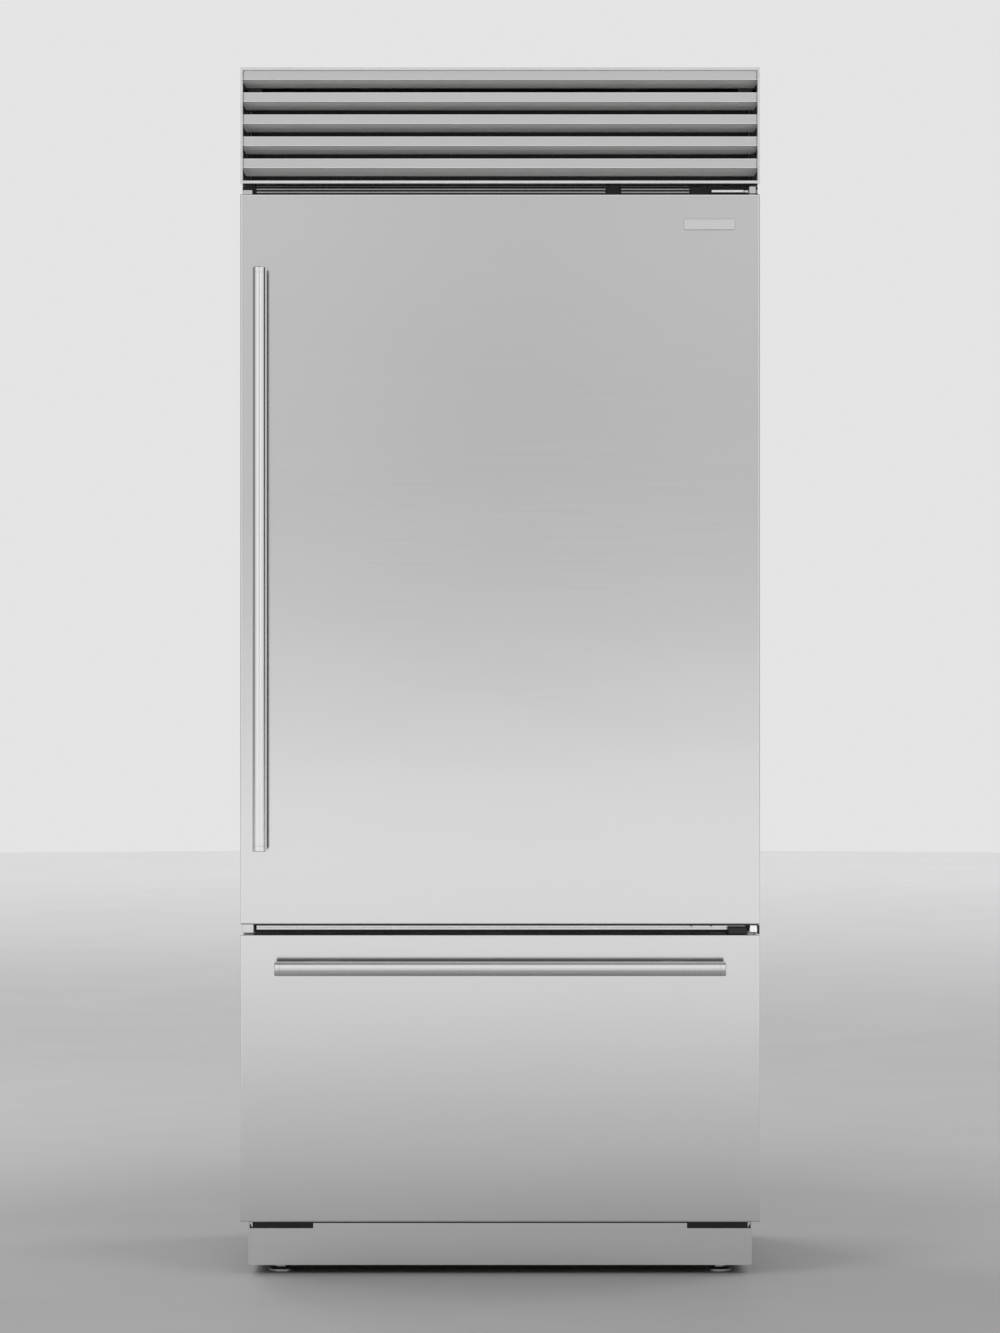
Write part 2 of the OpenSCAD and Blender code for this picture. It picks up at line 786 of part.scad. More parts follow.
// Formed liner of the door: a flat sheet with a ridge all round that has sloping sides.
module door_liner() {
    slope = 7;
    lug_w = 9;
    lug_h = 10;
    root = door_back - over;
    tip = door_back + ridge_d;
    lug_z = [for (i = [0 : bin_n]) i < bin_n ? bin_floor + i * bin_pitch : dairy_z];
    color("white") {
        block([-half_w + 3, door_back - liner_t, door_z0 + 3], [half_w - 3, door_back, door_z1 - 3]);
        both_sides() slab_z(ridge_z0, ridge_z1)
            polygon([[ridge_x, root], [ridge_x, door_back], [ridge_x - slope, tip], [ridge_x - ridge_w, tip],
                     [ridge_x - ridge_w, root]]);
        slab_x(-ridge_x + slope, ridge_x - slope) {
            polygon([[root, ridge_z0], [door_back, ridge_z0], [tip, ridge_z0 + slope],
                     [tip, ridge_z0 + ridge_w], [root, ridge_z0 + ridge_w]]);
            polygon([[root, ridge_z1], [door_back, ridge_z1], [tip, ridge_z1 - slope],
                     [tip, ridge_z1 - ridge_w], [root, ridge_z1 - ridge_w]]);
        }
        both_sides() for (z = lug_z)
            block([ridge_x - ridge_w - lug_w, root, z - lug_h], [ridge_x - ridge_w + over, tip - 14, z]);
    }
}

module door_gasket() {
    color("dimgray") gasket(door_z0 + 8, door_z1 - 7);
}

module door_handle_bar() {
    color("silver") translate([-half_w + door_handle_inset, handle_y, door_handle_z])
        handle_bar(door_handle_l);
}

module door_handle_posts() {
    color("silver") for (z = [post_inset, door_handle_l - post_inset])
        translate([-half_w + door_handle_inset, 0, door_handle_z + z]) handle_post();
}

// Door bin: a tub with a lower front, on the liner's lugs.
module door_bin(z) {
    low = [-bin_x, door_back + seat_gap, z];
    high = [bin_x, door_back + bin_d, z + bin_h];
    tub(low, high, tub_t);
    block([-bin_x + 8, high.y - 2 * tub_t, high.z - 12], [bin_x - 8, high.y - tub_t / 2, high.z]);
}

module door_bins() {
    color("aliceblue") for (i = [0 : bin_n - 1]) door_bin(bin_floor + i * bin_pitch);
}

// Dairy box: closed at the back, the sides, the top and the floor; the lid closes its front.
module dairy_box() {
    wall = 4;
    front = lid_y - 5;
    color("aliceblue") difference() {
        union() {
            block([-bin_x, door_back + seat_gap, dairy_z], [bin_x, front, dairy_z + dairy_h]);
            both_sides() block([bin_x - wall, front - over, lid_z - 9],
                               [bin_x, lid_y + 7, dairy_z + dairy_h]);
        }
        block([-bin_x + wall, door_back + wall, dairy_z + wall],
              [bin_x - wall, lid_y + 10, dairy_z + dairy_h - wall]);
        translate([0, lid_y, lid_z]) rod_x(-bin_x - over, bin_x + over, lid_pin_r + pin_gap);
    }
}

// Lid of the dairy box: a curved flap that turns on two pins at its top.
module dairy_lid() {
    half = bin_x - 4 - slide_gap;
    drop = lid_z - dairy_z - 6;
    color("lightcyan") {
        slab_x(-half, half) {
            translate([lid_y, lid_z]) circle(r = 4.5, $fn = small_fn);
            translate([lid_y - 1.5, lid_z - drop]) square([3, drop]);
            translate([lid_y - 1.5, lid_z - drop]) square([9, 3]);
        }
        both_sides() translate([0, lid_y, lid_z]) rod_x(half - over, bin_x - 0.5, lid_pin_r);
    }
}

module drawer_skin() {
    color("silver") front_pan(drawer_z, drawer_z1);
}

module drawer_foam() {
    color("khaki") front_core(drawer_z, drawer_z1);
}

// Liner of the drawer front: a flat sheet with a raised, sloping pad inside the gasket.
module drawer_liner() {
    pad = 6;
    pad_x = cavity_x - 9;
    root = door_back - over;
    z0 = freezer_z0 + 9;
    z1 = freezer_z1 - 9;
    color("white") {
        block([-half_w + 3, door_back - liner_t, drawer_z + 3], [half_w - 3, door_back, drawer_z1 - 3]);
        intersection() {
            slab_z(z0, z1)
                polygon([[-pad_x, root], [-pad_x, door_back], [-pad_x + pad, door_back + pad],
                         [pad_x - pad, door_back + pad], [pad_x, door_back], [pad_x, root]]);
            slab_x(-pad_x, pad_x)
                polygon([[root, z0], [door_back, z0], [door_back + pad, z0 + pad],
                         [door_back + pad, z1 - pad], [door_back, z1], [root, z1]]);
        }
    }
}

module drawer_gasket() {
    color("dimgray") gasket(drawer_z + 9, drawer_z1 - 8);
}

module drawer_handle_bar() {
    color("silver") translate([-drawer_handle_l / 2, handle_y, drawer_handle_z]) rotate([0, 90, 0])
        handle_bar(drawer_handle_l);
}

module drawer_handle_posts() {
    reach = drawer_handle_l / 2 - post_inset;
    color("silver") for (x = [-reach, reach])
        translate([x, 0, drawer_handle_z]) rotate([0, 90, 0]) handle_post();
}

// Fridge inside

// Cover of an air duct: a sheet with a round fan guard at the top and slots for the return air.
module duct_cover(z0, z1, guard_z) {
    hub_r = 17;
    difference() {
        block([-cavity_x, duct_y, z0], [cavity_x, duct_y + 3, z1]);
        translate([0, 0, guard_z]) difference() {
            rod_y(duct_y - over, duct_y + 3 + over, guard_r);
            for (r = [hub_r, 30, 43]) difference() {
                rod_y(duct_y - 2, duct_y + 5, r + 2.5);
                if (r > hub_r) rod_y(duct_y - 3, duct_y + 6, r - 2.5);
            }
            for (a = [0, 45, 90, 135]) rotate([0, a, 0])
                block([-guard_r - over, duct_y, -2], [guard_r + over, duct_y + 3, 2]);
        }
        for (i = [0 : 9]) translate([spread(i, 10, -200, 200), 0, 0])
            block([-14, duct_y - over, z0 + 18], [14, duct_y + 3 + over, z0 + 24]);
    }
    translate([0, 0, guard_z]) {
        rod_y(duct_y + 3 - over, duct_y + 9, 15);
        rod_y(duct_y + 9 - over, duct_y + 30, shaft_r);
    }
}

module duct_covers() {
    color("gainsboro") {
        duct_cover(fridge_z0, fridge_z1, fridge_fan_z);
        duct_cover(freezer_z0, freezer_z1, freezer_fan_z);
    }
}

// Fan on a y axis: a bored hub and pitched blades, inside radius r.
module fan_wheel(r, depth, blades) {
    hub = r * 0.28;
    difference() {
        union() {
            rod_y(-depth / 2, depth / 2, hub);
            intersection() {
                difference() {
                    rod_y(-depth / 2, depth / 2, r);
                    rod_y(-depth, depth, hub - 2);
                }
                for (i = [0 : blades - 1]) rotate([0, i * 360 / blades, 0]) rotate([0, 0, 32])
                    block([-r * 0.28, -0.9, 0], [r * 0.28, 0.9, r + 2]);
            }
        }
        rod_y(-depth, depth, shaft_r + pin_gap);
    }
}

module fridge_fan() {
    color("dimgray") translate([0, duct_y + 19.5, fridge_fan_z]) fan_wheel(52, 16, 7);
}

module freezer_fan() {
    color("dimgray") translate([0, duct_y + 19.5, freezer_fan_z]) fan_wheel(52, 16, 7);
}

// Fins threaded on tubes, with return bends brazed into the tubes' ends. The two end plates reach
// down to plate_z and back to plate_y, where they are fixed.
module coil(x0, x1, y, z0, z1, depth, fins, tubes, plate_y, plate_z) {
    tube = 4;
    fin_t = 0.8;
    plate_t = 1.6;
    rise = (z1 - z0) / tubes;
    bend = tube - 0.5;
    for (i = [1 : fins - 2])
        block([spread(i, fins, x0, x1) - fin_t / 2, y, z0],
              [spread(i, fins, x0, x1) + fin_t / 2, y + depth, z1]);
    for (x = [x0, x1]) block([x - plate_t / 2, y, plate_z], [x + plate_t / 2, plate_y, z1]);
    for (k = [0 : tubes - 1]) translate([0, y + depth / 2, z0 + (k + 0.5) * rise])
        rod_x(x0 - 9, x1 + 9, tube);
    for (k = [0 : tubes - 2])
        translate([k % 2 == 0 ? x1 + 8 : x0 - 8, y + depth / 2, z0 + (k + 1) * rise])
            rotate([k % 2 == 0 ? 90 : -90, 0, 0]) rotate([0, 0, -90])
                rotate_extrude(angle = 180, $fn = small_fn)
                    translate([rise / 2, 0]) circle(r = bend, $fn = 24);
}

module evaporators() {
    coil_d = 24;
    coil_y = cavity_back - coil_d - 3;
    high = fridge_fan_z - guard_r - fridge_coil_gap;
    low = freezer_z0 + freezer_coil_gap;
    color("lightsteelblue") {
        coil(-fridge_coil_x, fridge_coil_x, coil_y, high - fridge_coil_h, high, coil_d, 20, 4,
             cavity_back, high - fridge_coil_h);
        coil(-freezer_coil_x, freezer_coil_x, coil_y, low, low + freezer_coil_h, coil_d, 22, 4,
             cavity_back, low);
    }
}

// Slotted uprights that the shelves hook into.
module shelf_tracks() {
    wall = 1.5;
    low = fridge_z0 + crisper_top + 30;
    high = fridge_z1 - 40;
    slot_pitch = 25;
    slots = floor((high - low) / slot_pitch) - 1;
    color("silver") both_sides() difference() {
        block([track_x - track_w / 2, duct_y - track_d, low], [track_x + track_w / 2, duct_y, high]);
        block([track_x - track_w / 2 + wall, duct_y - track_d + wall, low - over],
              [track_x + track_w / 2 - wall, duct_y + over, fridge_z1]);
        for (i = [0 : slots - 1])
            translate([track_x, 0, low + 12 + i * slot_pitch])
                block([-2.5, duct_y - track_d - over, 0], [2.5, duct_y - track_d + wall + over, 12]);
    }
}

// Shelf: a frame with a ledge for the glass, on two tapered arms that hook into the tracks.
module shelf_frame(z) {
    rear = duct_y - track_d;
    rim = 10;
    root = z - shelf_t + over;
    arm_h = 43;
    difference() {
        block([-shelf_x, shelf_front, z - shelf_t], [shelf_x, rear, z]);
        block([-shelf_x + rim, shelf_front + rim, z - shelf_t - over], [shelf_x - rim, rear - rim, z + over]);
        block([-shelf_x + rim - 4, shelf_front + rim - 4, z - glass_t],
              [shelf_x - rim + 4, rear - rim + 4, z + over]);
        block([-shelf_x - over, shelf_front + rim + 6, z - shelf_t - over],
              [shelf_x + over, rear - rim - 6, z - glass_t - 3]);
    }
    both_sides() slab_x(track_x - 2, track_x + 2)
        polygon([[rear, root], [rear, root - arm_h], [rear - 30, root - arm_h],
                 [shelf_front + 4, root - 5], [shelf_front + 4, root]]);
}

// Rails under the lowest shelf that carry the deli drawer.
module deli_rails() {
    top = fridge_z0 + shelf_z - shelf_t;
    ledge = deli_z + deli_h - 6;
    rear = duct_y - track_d;
    both_sides() {
        block([deli_x + 12, shelf_front + 6, ledge], [deli_x + 14, rear, top + over]);
        block([deli_x + 1, shelf_front + 6, ledge], [deli_x + 14, rear - 16, ledge + 3]);
    }
}

module shelf_frames() {
    color("silver") {
        for (i = [0 : shelf_n - 1]) shelf_frame(fridge_z0 + shelf_z + i * shelf_pitch);
        deli_rails();
    }
}

module shelf_glass() {
    rear = duct_y - track_d;
    rim = 6.3;
    color("lightcyan", 0.5) {
        for (i = [0 : shelf_n - 1])
            slab_z(fridge_z0 + shelf_z + i * shelf_pitch - glass_t, fridge_z0 + shelf_z + i * shelf_pitch)
                round_rect(-shelf_x + rim, shelf_front + rim, shelf_x - rim, rear - rim, 2);
        slab_z(fridge_z0 + crisper_top - glass_t, fridge_z0 + crisper_top)
            round_rect(-shelf_x + rim, shelf_front + rim, shelf_x - rim, duct_y - rim, 2);
    }
}

// Frame over the crispers, with a divider between them and ledges that they slide on.
module crisper_frame() {
    top = fridge_z0 + crisper_top;
    rim = 10;
    frame_h = 16;
    ledge = crisper_rim - tub_t - seat_gap;
    color("whitesmoke") {
        difference() {
            block([-cavity_x, shelf_front, top - frame_h], [cavity_x, duct_y, top]);
            block([-shelf_x + rim, shelf_front + rim, top - frame_h - over],
                  [shelf_x - rim, duct_y - rim, top + over]);
            block([-shelf_x + 6, shelf_front + 6, top - glass_t], [shelf_x - 6, duct_y - 6, top + over]);
        }
        block([-2.5, shelf_front + 4, fridge_z0], [2.5, duct_y, top - frame_h + over]);
        block([-14, shelf_front + 8, ledge - 6], [14, duct_y, ledge]);
        both_sides() block([cavity_x - rail_w, shelf_front + 8, ledge - 6], [cavity_x, duct_y, ledge]);
    }
}

// Crisper: a clear tub with a rim that slides on the ledges, and a front with a grip along its top.
module crisper(side) {
    x0 = 15.5;
    x1 = cavity_x - rail_w - 1.5;
    low_z = fridge_z0 + 8;
    body_y = crisper_front + 6;
    color("lightcyan", 0.6) mirror([side < 0 ? 1 : 0, 0, 0]) {
        tub([x0, body_y, low_z], [x1, crisper_front + crisper_l, crisper_rim], tub_t);
        difference() {
            block([x0 - 10, body_y + 10, crisper_rim - tub_t],
                  [x1 + 10, crisper_front + crisper_l - 8, crisper_rim]);
            block([x0 + tub_t, body_y + tub_t, crisper_rim - 2 * tub_t],
                  [x1 - tub_t, crisper_front + crisper_l - tub_t, crisper_rim + over]);
        }
        slab_y(crisper_front, body_y + over) round_rect(x0 - 11, low_z - 3, x1 + 11, crisper_rim + 22, 4);
        block([x0 + 20, body_y, crisper_rim + 10], [x1 - 20, body_y + 14, crisper_rim + 14]);
    }
}

module crisper_left() {
    crisper(-1);
}

module crisper_right() {
    crisper(1);
}

module deli_drawer() {
    x1 = deli_x;
    rim_z = deli_z + deli_h - 6 + 3 + seat_gap;
    front = crisper_front;
    rear = duct_y - track_d - 20;
    color("lightcyan", 0.6) {
        tub([-x1, front + 6, deli_z], [x1, rear, rim_z + tub_t], tub_t);
        difference() {
            block([-x1 - 11, front + 14, rim_z], [x1 + 11, rear - 8, rim_z + tub_t]);
            block([-x1 + tub_t, front + 6 + tub_t, rim_z - over],
                  [x1 - tub_t, rear - tub_t, rim_z + tub_t + over]);
        }
        slab_y(front, front + 6 + over) round_rect(-x1 - 12, deli_z - 3, x1 + 12, deli_z + deli_h + 8, 4);
    }
}

// Control panel under the fridge's ceiling, with a lens along its lower edge and two button holes.
module control_panel() {
    rear = panel_y0 + panel_d;
    lens_x = panel_x - lens_inset;
    color("gainsboro") difference() {
        slab_x(-panel_x, panel_x)
            polygon([[panel_y0, fridge_z1], [panel_y0, panel_z0 + 8], [panel_y0 + 10, panel_z0],
                     [rear - 30, panel_z0], [rear, fridge_z1]]);
        for (x = [-button_x, button_x])
            translate([x, 0, button_z]) rod_y(panel_y0 - over, panel_y0 + 20, button_r + seat_gap);
    }
    color("white") block([-lens_x, lens_y[0], panel_z0 - lens_drop], [lens_x, lens_y[1], panel_z0 + over]);
}

module button(x) {
    color("white") translate([x, 0, button_z]) {
        rod_y(panel_y0 - 2, panel_y0 + 12, button_r);
        rod_y(panel_y0 + 12 - over, panel_y0 + 18.7, 3);
    }
}

module button_colder() {
    button(-button_x);
}

module button_warmer() {
    button(button_x);
}

// Freezer inside

// Cross-section of a runner's channel on the right-hand wall: its web, its flanges and their height.
module channel(web_x, tip_x, half_h, t) {
    lo = min(web_x, tip_x);
    hi = max(web_x, tip_x);
    for (s = [-1, 1]) translate([lo, runner_z + s * (half_h - t / 2) - t / 2]) square([hi - lo, t]);
    translate([web_x < tip_x ? web_x : web_x - t, runner_z - half_h]) square([t, 2 * half_h]);
}

module runner_channel(web_x, tip_x, half_h, y0, y1) {
    slab_y(y0, y1) channel(web_x, tip_x, half_h, 1.5);
}

module runner_outers() {
    color("silver") both_sides()
        runner_channel(cavity_x, runner_x + 2.5, runner_h / 2, runner_y, runner_y + runner_l);
}

module runner_middles() {
    color("silver") both_sides()
        runner_channel(cavity_x - 2, runner_x + 3, runner_h / 2 - 1.5 - slide_gap, runner_y + 2,
                       runner_y + runner_l - 4);
}

// Inner members, each with a bracket on the drawer front.
module runner_inners() {
    half_h = runner_h / 2 - 3 - 2 * slide_gap;
    pad_y = door_back + 6;
    pad = [40, 60];
    color("silver") both_sides() {
        runner_channel(runner_x, cavity_x - 5, half_h, runner_y + 2, runner_y + runner_l - 8);
        block([runner_x, pad_y, runner_z - half_h], [runner_x + 1.5, runner_y + 2 + over, runner_z + half_h]);
        block([runner_x - pad.x, pad_y, runner_z - pad.y], [runner_x + 1.5, pad_y + 2, runner_z + pad.y]);
    }
}

// Lower bin: a deep tub that hangs between the inner runners, with a rim that the basket slides on.
module freezer_bin() {
    half = runner_x;
    rear = lower_bin_y + lower_bin_l;
    color("white") {
        tub([-half, lower_bin_y, lower_bin_z], [half, rear, lower_rim_z], tub_t);
        difference() {
            block([-half, lower_bin_y + 8, lower_rim_z - 4], [half, rear - 8, lower_rim_z]);
            block([-half + 14, lower_bin_y - over, lower_rim_z - 5],
                  [half - 14, rear + over, lower_rim_z + over]);
        }
        block([-half + 41, door_back + 6, lower_rim_z - 60],
              [half - 41, lower_bin_y + tub_t, lower_rim_z - 40]);
        block([basket_split - 10, lower_bin_y + over, lower_rim_z - 4],
              [basket_split + 10, rear - over, lower_rim_z]);
    }
}

module ice_bin() {
    color("white") tub([-runner_x + 8, basket_y, lower_rim_z],
                       [basket_split - 4, basket_y + ice_bin_l, lower_rim_z + basket_h], tub_t);
}

// Upper basket: a slotted tray that slides back on the lower bin's rim.
module upper_basket() {
    x0 = basket_split + 4;
    x1 = runner_x - 4;
    rear = basket_y + basket_l;
    slots = 9;
    color("white") difference() {
        tub([x0, basket_y, basket_z], [x1, rear, basket_z + basket_h], tub_t);
        for (i = [0 : slots - 1])
            translate([spread(i, slots, x0 + 30, x1 - 30), 0, 0])
                block([-9, basket_y - over, basket_z + 24], [9, rear + over, basket_z + basket_h - 18]);
    }
}

// Ice maker: a housing with a row of curved pockets in its tray, hung from the freezer's ceiling.
module ice_maker() {
    pockets = 7;
    wall = 4;
    top = maker_z + 52;
    x0 = maker_x0;
    x1 = maker_x0 + maker_w;
    y1 = maker_y0 + maker_l;
    color("whitesmoke") difference() {
        union() {
            block([x0, maker_y0, maker_z], [x1, y1, top]);
            block([x0, maker_y0, top - over], [x0 + wall, y1, freezer_z1]);
            block([x0, maker_y0 + 20, freezer_z1 - wall], [x1, y1 - 20, freezer_z1]);
            block([x0, y1 - 34, top - over], [x1, y1 - 20, freezer_z1]);
        }
        for (i = [0 : pockets - 1])
            translate([(x0 + x1) / 2, spread(i, pockets, maker_y0 + 46, y1 - 14), maker_z + 60])
                rotate([90, 0, 0]) cylinder(r = 38, h = 19, center = true, $fn = round_fn);
    }
    color("gray") translate([0, arm_y, arm_z]) rod_x(x1 - over, x1 + 12, lid_pin_r);
}

// Feeler arm that rests on its stop over the ice bin, and is lifted by a full load.
module ice_arm() {
    x0 = maker_x0 + maker_w + 1.5;
    color("silver") {
        difference() {
            union() {
                translate([0, arm_y, arm_z]) rod_x(x0, x0 + 6, 7);
                slab_x(x0, x0 + 4)
                    polygon([[arm_y, arm_z + 4], [arm_y - 6, arm_z - 4], [arm_y - 66, arm_z - 40],
                             [arm_y - 90, arm_z - 40], [arm_y - 90, arm_z - 35],
                             [arm_y - 66, arm_z - 35]]);
            }
            translate([0, arm_y, arm_z]) rod_x(x0 - over, x0 + 7, lid_pin_r + pin_gap);
        }
        block([x0, arm_y - 90, arm_z - 40], [x0 + 40, arm_y - 85, arm_z - 35]);
    }
}

// Machine compartment

// Compressor: a domed can with a weld flange, on a foot plate with four rubber feet.
module compressor(x) {
    foot = compressor_r + 8;
    feet_h = 12;
    can_z = deck_z + feet_h + 3;
    dome = compressor_r * 1.5;
    seam_z = deck_z + compressor_h * 0.54;
    translate([x, compressor_y, 0]) {
        color("black") {
            intersection() {
                rod_z(can_z, deck_z + compressor_h, compressor_r);
                translate([0, 0, deck_z + compressor_h - dome]) sphere(r = dome, $fn = round_fn);
            }
            rod_z(seam_z, seam_z + 4, compressor_r + 3);
            difference() {
                slab_z(deck_z + feet_h, can_z + 1) round_rect(-foot, -foot, foot, foot, 10);
                for (sx = [-1, 1], sy = [-1, 1]) translate([sx * (foot - 12), sy * (foot - 12), 0])
                    rod_z(deck_z, can_z + 4, 4);
            }
            for (sx = [-1, 1], sy = [-1, 1]) translate([sx * (foot - 12), sy * (foot - 12), 0]) {
                rod_z(deck_z, deck_z + feet_h, 8);
                rod_z(deck_z + feet_h - over, can_z + 4, 4);
            }
            block([-22, -compressor_r - 12, deck_z + 60], [22, -compressor_r + 10, deck_z + 110]);
        }
    }
}

module compressors() {
    for (x = compressor_x) compressor(x);
}

module condenser() {
    z0 = deck_z + 8;
    half = condenser_w / 2;
    color("darkgray")
        coil(fan_x - half + 16, fan_x + half - 16, condenser_y, z0, z0 + condenser_h, condenser_d, fin_n, 6,
             condenser_y + condenser_d, deck_z);
}

// Shroud behind the condenser: a plate with a round mouth, and a spider that carries the motor.
module fan_shroud() {
    half = condenser_w / 2 - 6;
    mouth = fan_r + 4;
    ring_l = 46;
    color("dimgray") {
        difference() {
            union() {
                block([fan_x - half, shroud_y, deck_z], [fan_x + half, shroud_y + 2, deck_z + machine_h - 6]);
                translate([fan_x, 0, fan_z]) rod_y(shroud_y, shroud_y + ring_l, mouth + 2);
            }
            translate([fan_x, 0, fan_z]) rod_y(shroud_y - over, shroud_y + ring_l + over, mouth);
        }
        translate([fan_x, 0, fan_z]) {
            for (a = [45, 135]) rotate([0, a, 0])
                block([-mouth - 2, motor_y - 22, -4], [mouth + 2, motor_y - 16, 4]);
            rod_y(motor_y - 22, motor_y + 24, motor_r);
            rod_y(shroud_y + 8, motor_y - 22, shaft_r);
        }
    }
}

module condenser_fan() {
    color("gray") translate([fan_x, shroud_y + 24, fan_z]) fan_wheel(fan_r, 26, 5);
}

// Copper pipe between two points.
module pipe(a, b) {
    d = b - a;
    length = norm(d);
    translate(a) rotate([0, acos(d.z / length), atan2(d.y, d.x)]) cylinder(r = pipe_r, h = length, $fn = 24);
}

// Pipes from point to point, with a ball at each bend and flat ends.
module pipe_run(points) {
    for (i = [0 : len(points) - 2]) pipe(points[i], points[i + 1]);
    for (i = [1 : len(points) - 2]) translate(points[i]) sphere(r = pipe_r, $fn = 24);
}

// Suction line of each compressor, down to the deck, and a discharge line round the fan's motor to the
// condenser's lowest tube.
module refrigerant_tubes() {
    high = deck_z + compressor_h * 0.62;
    low = deck_z + 22;
    tube_end = fan_x - condenser_w / 2 + 7;
    tube_y = condenser_y + condenser_d / 2;
    rise_gap = 40;
    rear = compressor_y + compressor_r + rise_gap;
    color("peru") {
        for (x = compressor_x)
            pipe_run([[x, compressor_y + compressor_r, high], [x, rear, high], [x, rear, low],
                      [x + 26, rear, low], [x + 26, rear, deck_z]]);
        pipe_run([[compressor_x[0] - compressor_r, compressor_y, low], [tube_end - 14, compressor_y, low],
                  [tube_end - 14, tube_y, low], [tube_end, tube_y, low]]);
    }
}

// Power inlet: a flanged socket that opens to the back of the cabinet.
module power_inlet() {
    half = [inlet_w / 2, inlet_h / 2];
    translate([inlet_x, 0, inlet_z]) difference() {
        union() {
            slab_y(back_y - inlet_d, back_y) round_rect(-half.x, -half.y, half.x, half.y, 3);
            slab_y(foam_back - 3, foam_back)
                round_rect(-half.x - inlet_flange, -half.y - inlet_flange / 2, half.x + inlet_flange,
                           half.y + inlet_flange / 2, 3);
        }
        slab_y(back_y - inlet_d + inlet_wall, back_y + over)
            round_rect(inlet_wall - half.x, inlet_wall - half.y, half.x - inlet_wall, half.y - inlet_wall, 2);
    }
}

// Control box beside the condenser, with a lid, and the power inlet on the back wall.
module control_box() {
    wall = 2;
    low = [box_x, box_y, deck_z];
    high = [box_x + box_w, box_y + box_d, deck_z + box_h];
    color("gray") {
        difference() {
            block(low, high);
            block([low.x + wall, low.y + wall, low.z + wall], [high.x - wall, high.y - wall, high.z + over]);
        }
        slab_z(high.z - over, high.z + box_lid_t)
            round_rect(low.x - wall, low.y - wall, high.x + wall, high.y + wall, 3);
    }
    color("black") power_inlet();
}

cabinet_wrapper();
back_panel();
machine_tray();
cabinet_foam();
face_frame();
fridge_liner();
freezer_liner();
base_frame();
kick_plate();
duct_covers();
evaporators();
shelf_tracks();
shelf_frames();
shelf_glass();
crisper_frame();
control_panel();
door_hinges();
runner_outers();
compressors();
condenser();
fan_shroud();
refrigerant_tubes();
control_box();
ice_maker();
door_skin();
door_foam();
door_liner();
door_gasket();
door_handle_bar();
door_handle_posts();
door_bins();
dairy_box();
hinge_bushes();
dairy_lid();
drawer_skin();
drawer_foam();
drawer_liner();
drawer_gasket();
drawer_handle_bar();
drawer_handle_posts();
freezer_bin();
ice_bin();
runner_inners();
upper_basket();
runner_middles();
crisper_left();
crisper_right();
deli_drawer();
condenser_fan();
fridge_fan();
freezer_fan();
grille_frame();
grille_louvres();
leg_left();
leg_right();
roller_left();
roller_right();
button_colder();
button_warmer();
ice_arm();
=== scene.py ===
import math

import bmesh
import bpy
import numpy as np
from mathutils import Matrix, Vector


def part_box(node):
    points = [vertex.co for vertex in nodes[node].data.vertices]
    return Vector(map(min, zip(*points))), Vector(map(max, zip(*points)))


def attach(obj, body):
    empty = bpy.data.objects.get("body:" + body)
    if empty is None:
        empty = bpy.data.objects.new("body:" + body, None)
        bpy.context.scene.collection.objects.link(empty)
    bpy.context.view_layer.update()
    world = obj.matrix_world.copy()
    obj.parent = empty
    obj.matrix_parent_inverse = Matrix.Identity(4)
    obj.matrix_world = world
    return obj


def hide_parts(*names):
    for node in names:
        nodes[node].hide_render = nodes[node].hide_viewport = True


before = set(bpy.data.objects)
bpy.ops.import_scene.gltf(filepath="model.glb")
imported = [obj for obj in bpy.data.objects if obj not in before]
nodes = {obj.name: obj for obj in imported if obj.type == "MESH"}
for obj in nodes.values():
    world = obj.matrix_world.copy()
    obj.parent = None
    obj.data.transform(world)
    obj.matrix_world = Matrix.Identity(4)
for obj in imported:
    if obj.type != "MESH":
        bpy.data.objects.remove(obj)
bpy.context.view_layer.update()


# The viewer
# They stand square in front of the refrigerator, over eight metres away, with a long lens at chest
# height. It is shifted down a little instead of tilted, so that the upright lines stay upright.
eye = bpy.data.cameras.new("eye")
eye.lens = 127.4
eye.sensor_width = 36
eye.shift_y = -0.0498
eye_stand = bpy.data.objects.new("eye", eye)
eye_stand.location = (-0.0002, -8.573, 1.197)
eye_stand.rotation_euler = (math.pi / 2, 0, 0)
bpy.context.scene.collection.objects.link(eye_stand)
bpy.context.scene.camera = eye_stand
bpy.context.scene.view_settings.view_transform = "Standard"


# Floor of the studio
# A pale floor of painted board. For the camera and in reflections it has a painted glow, weaker behind
# the refrigerator and close to it than far out: painted shade near it, which the steel of the drawer shows.
def grey(level):
    """A colour without a tint."""
    return (level, level, level)


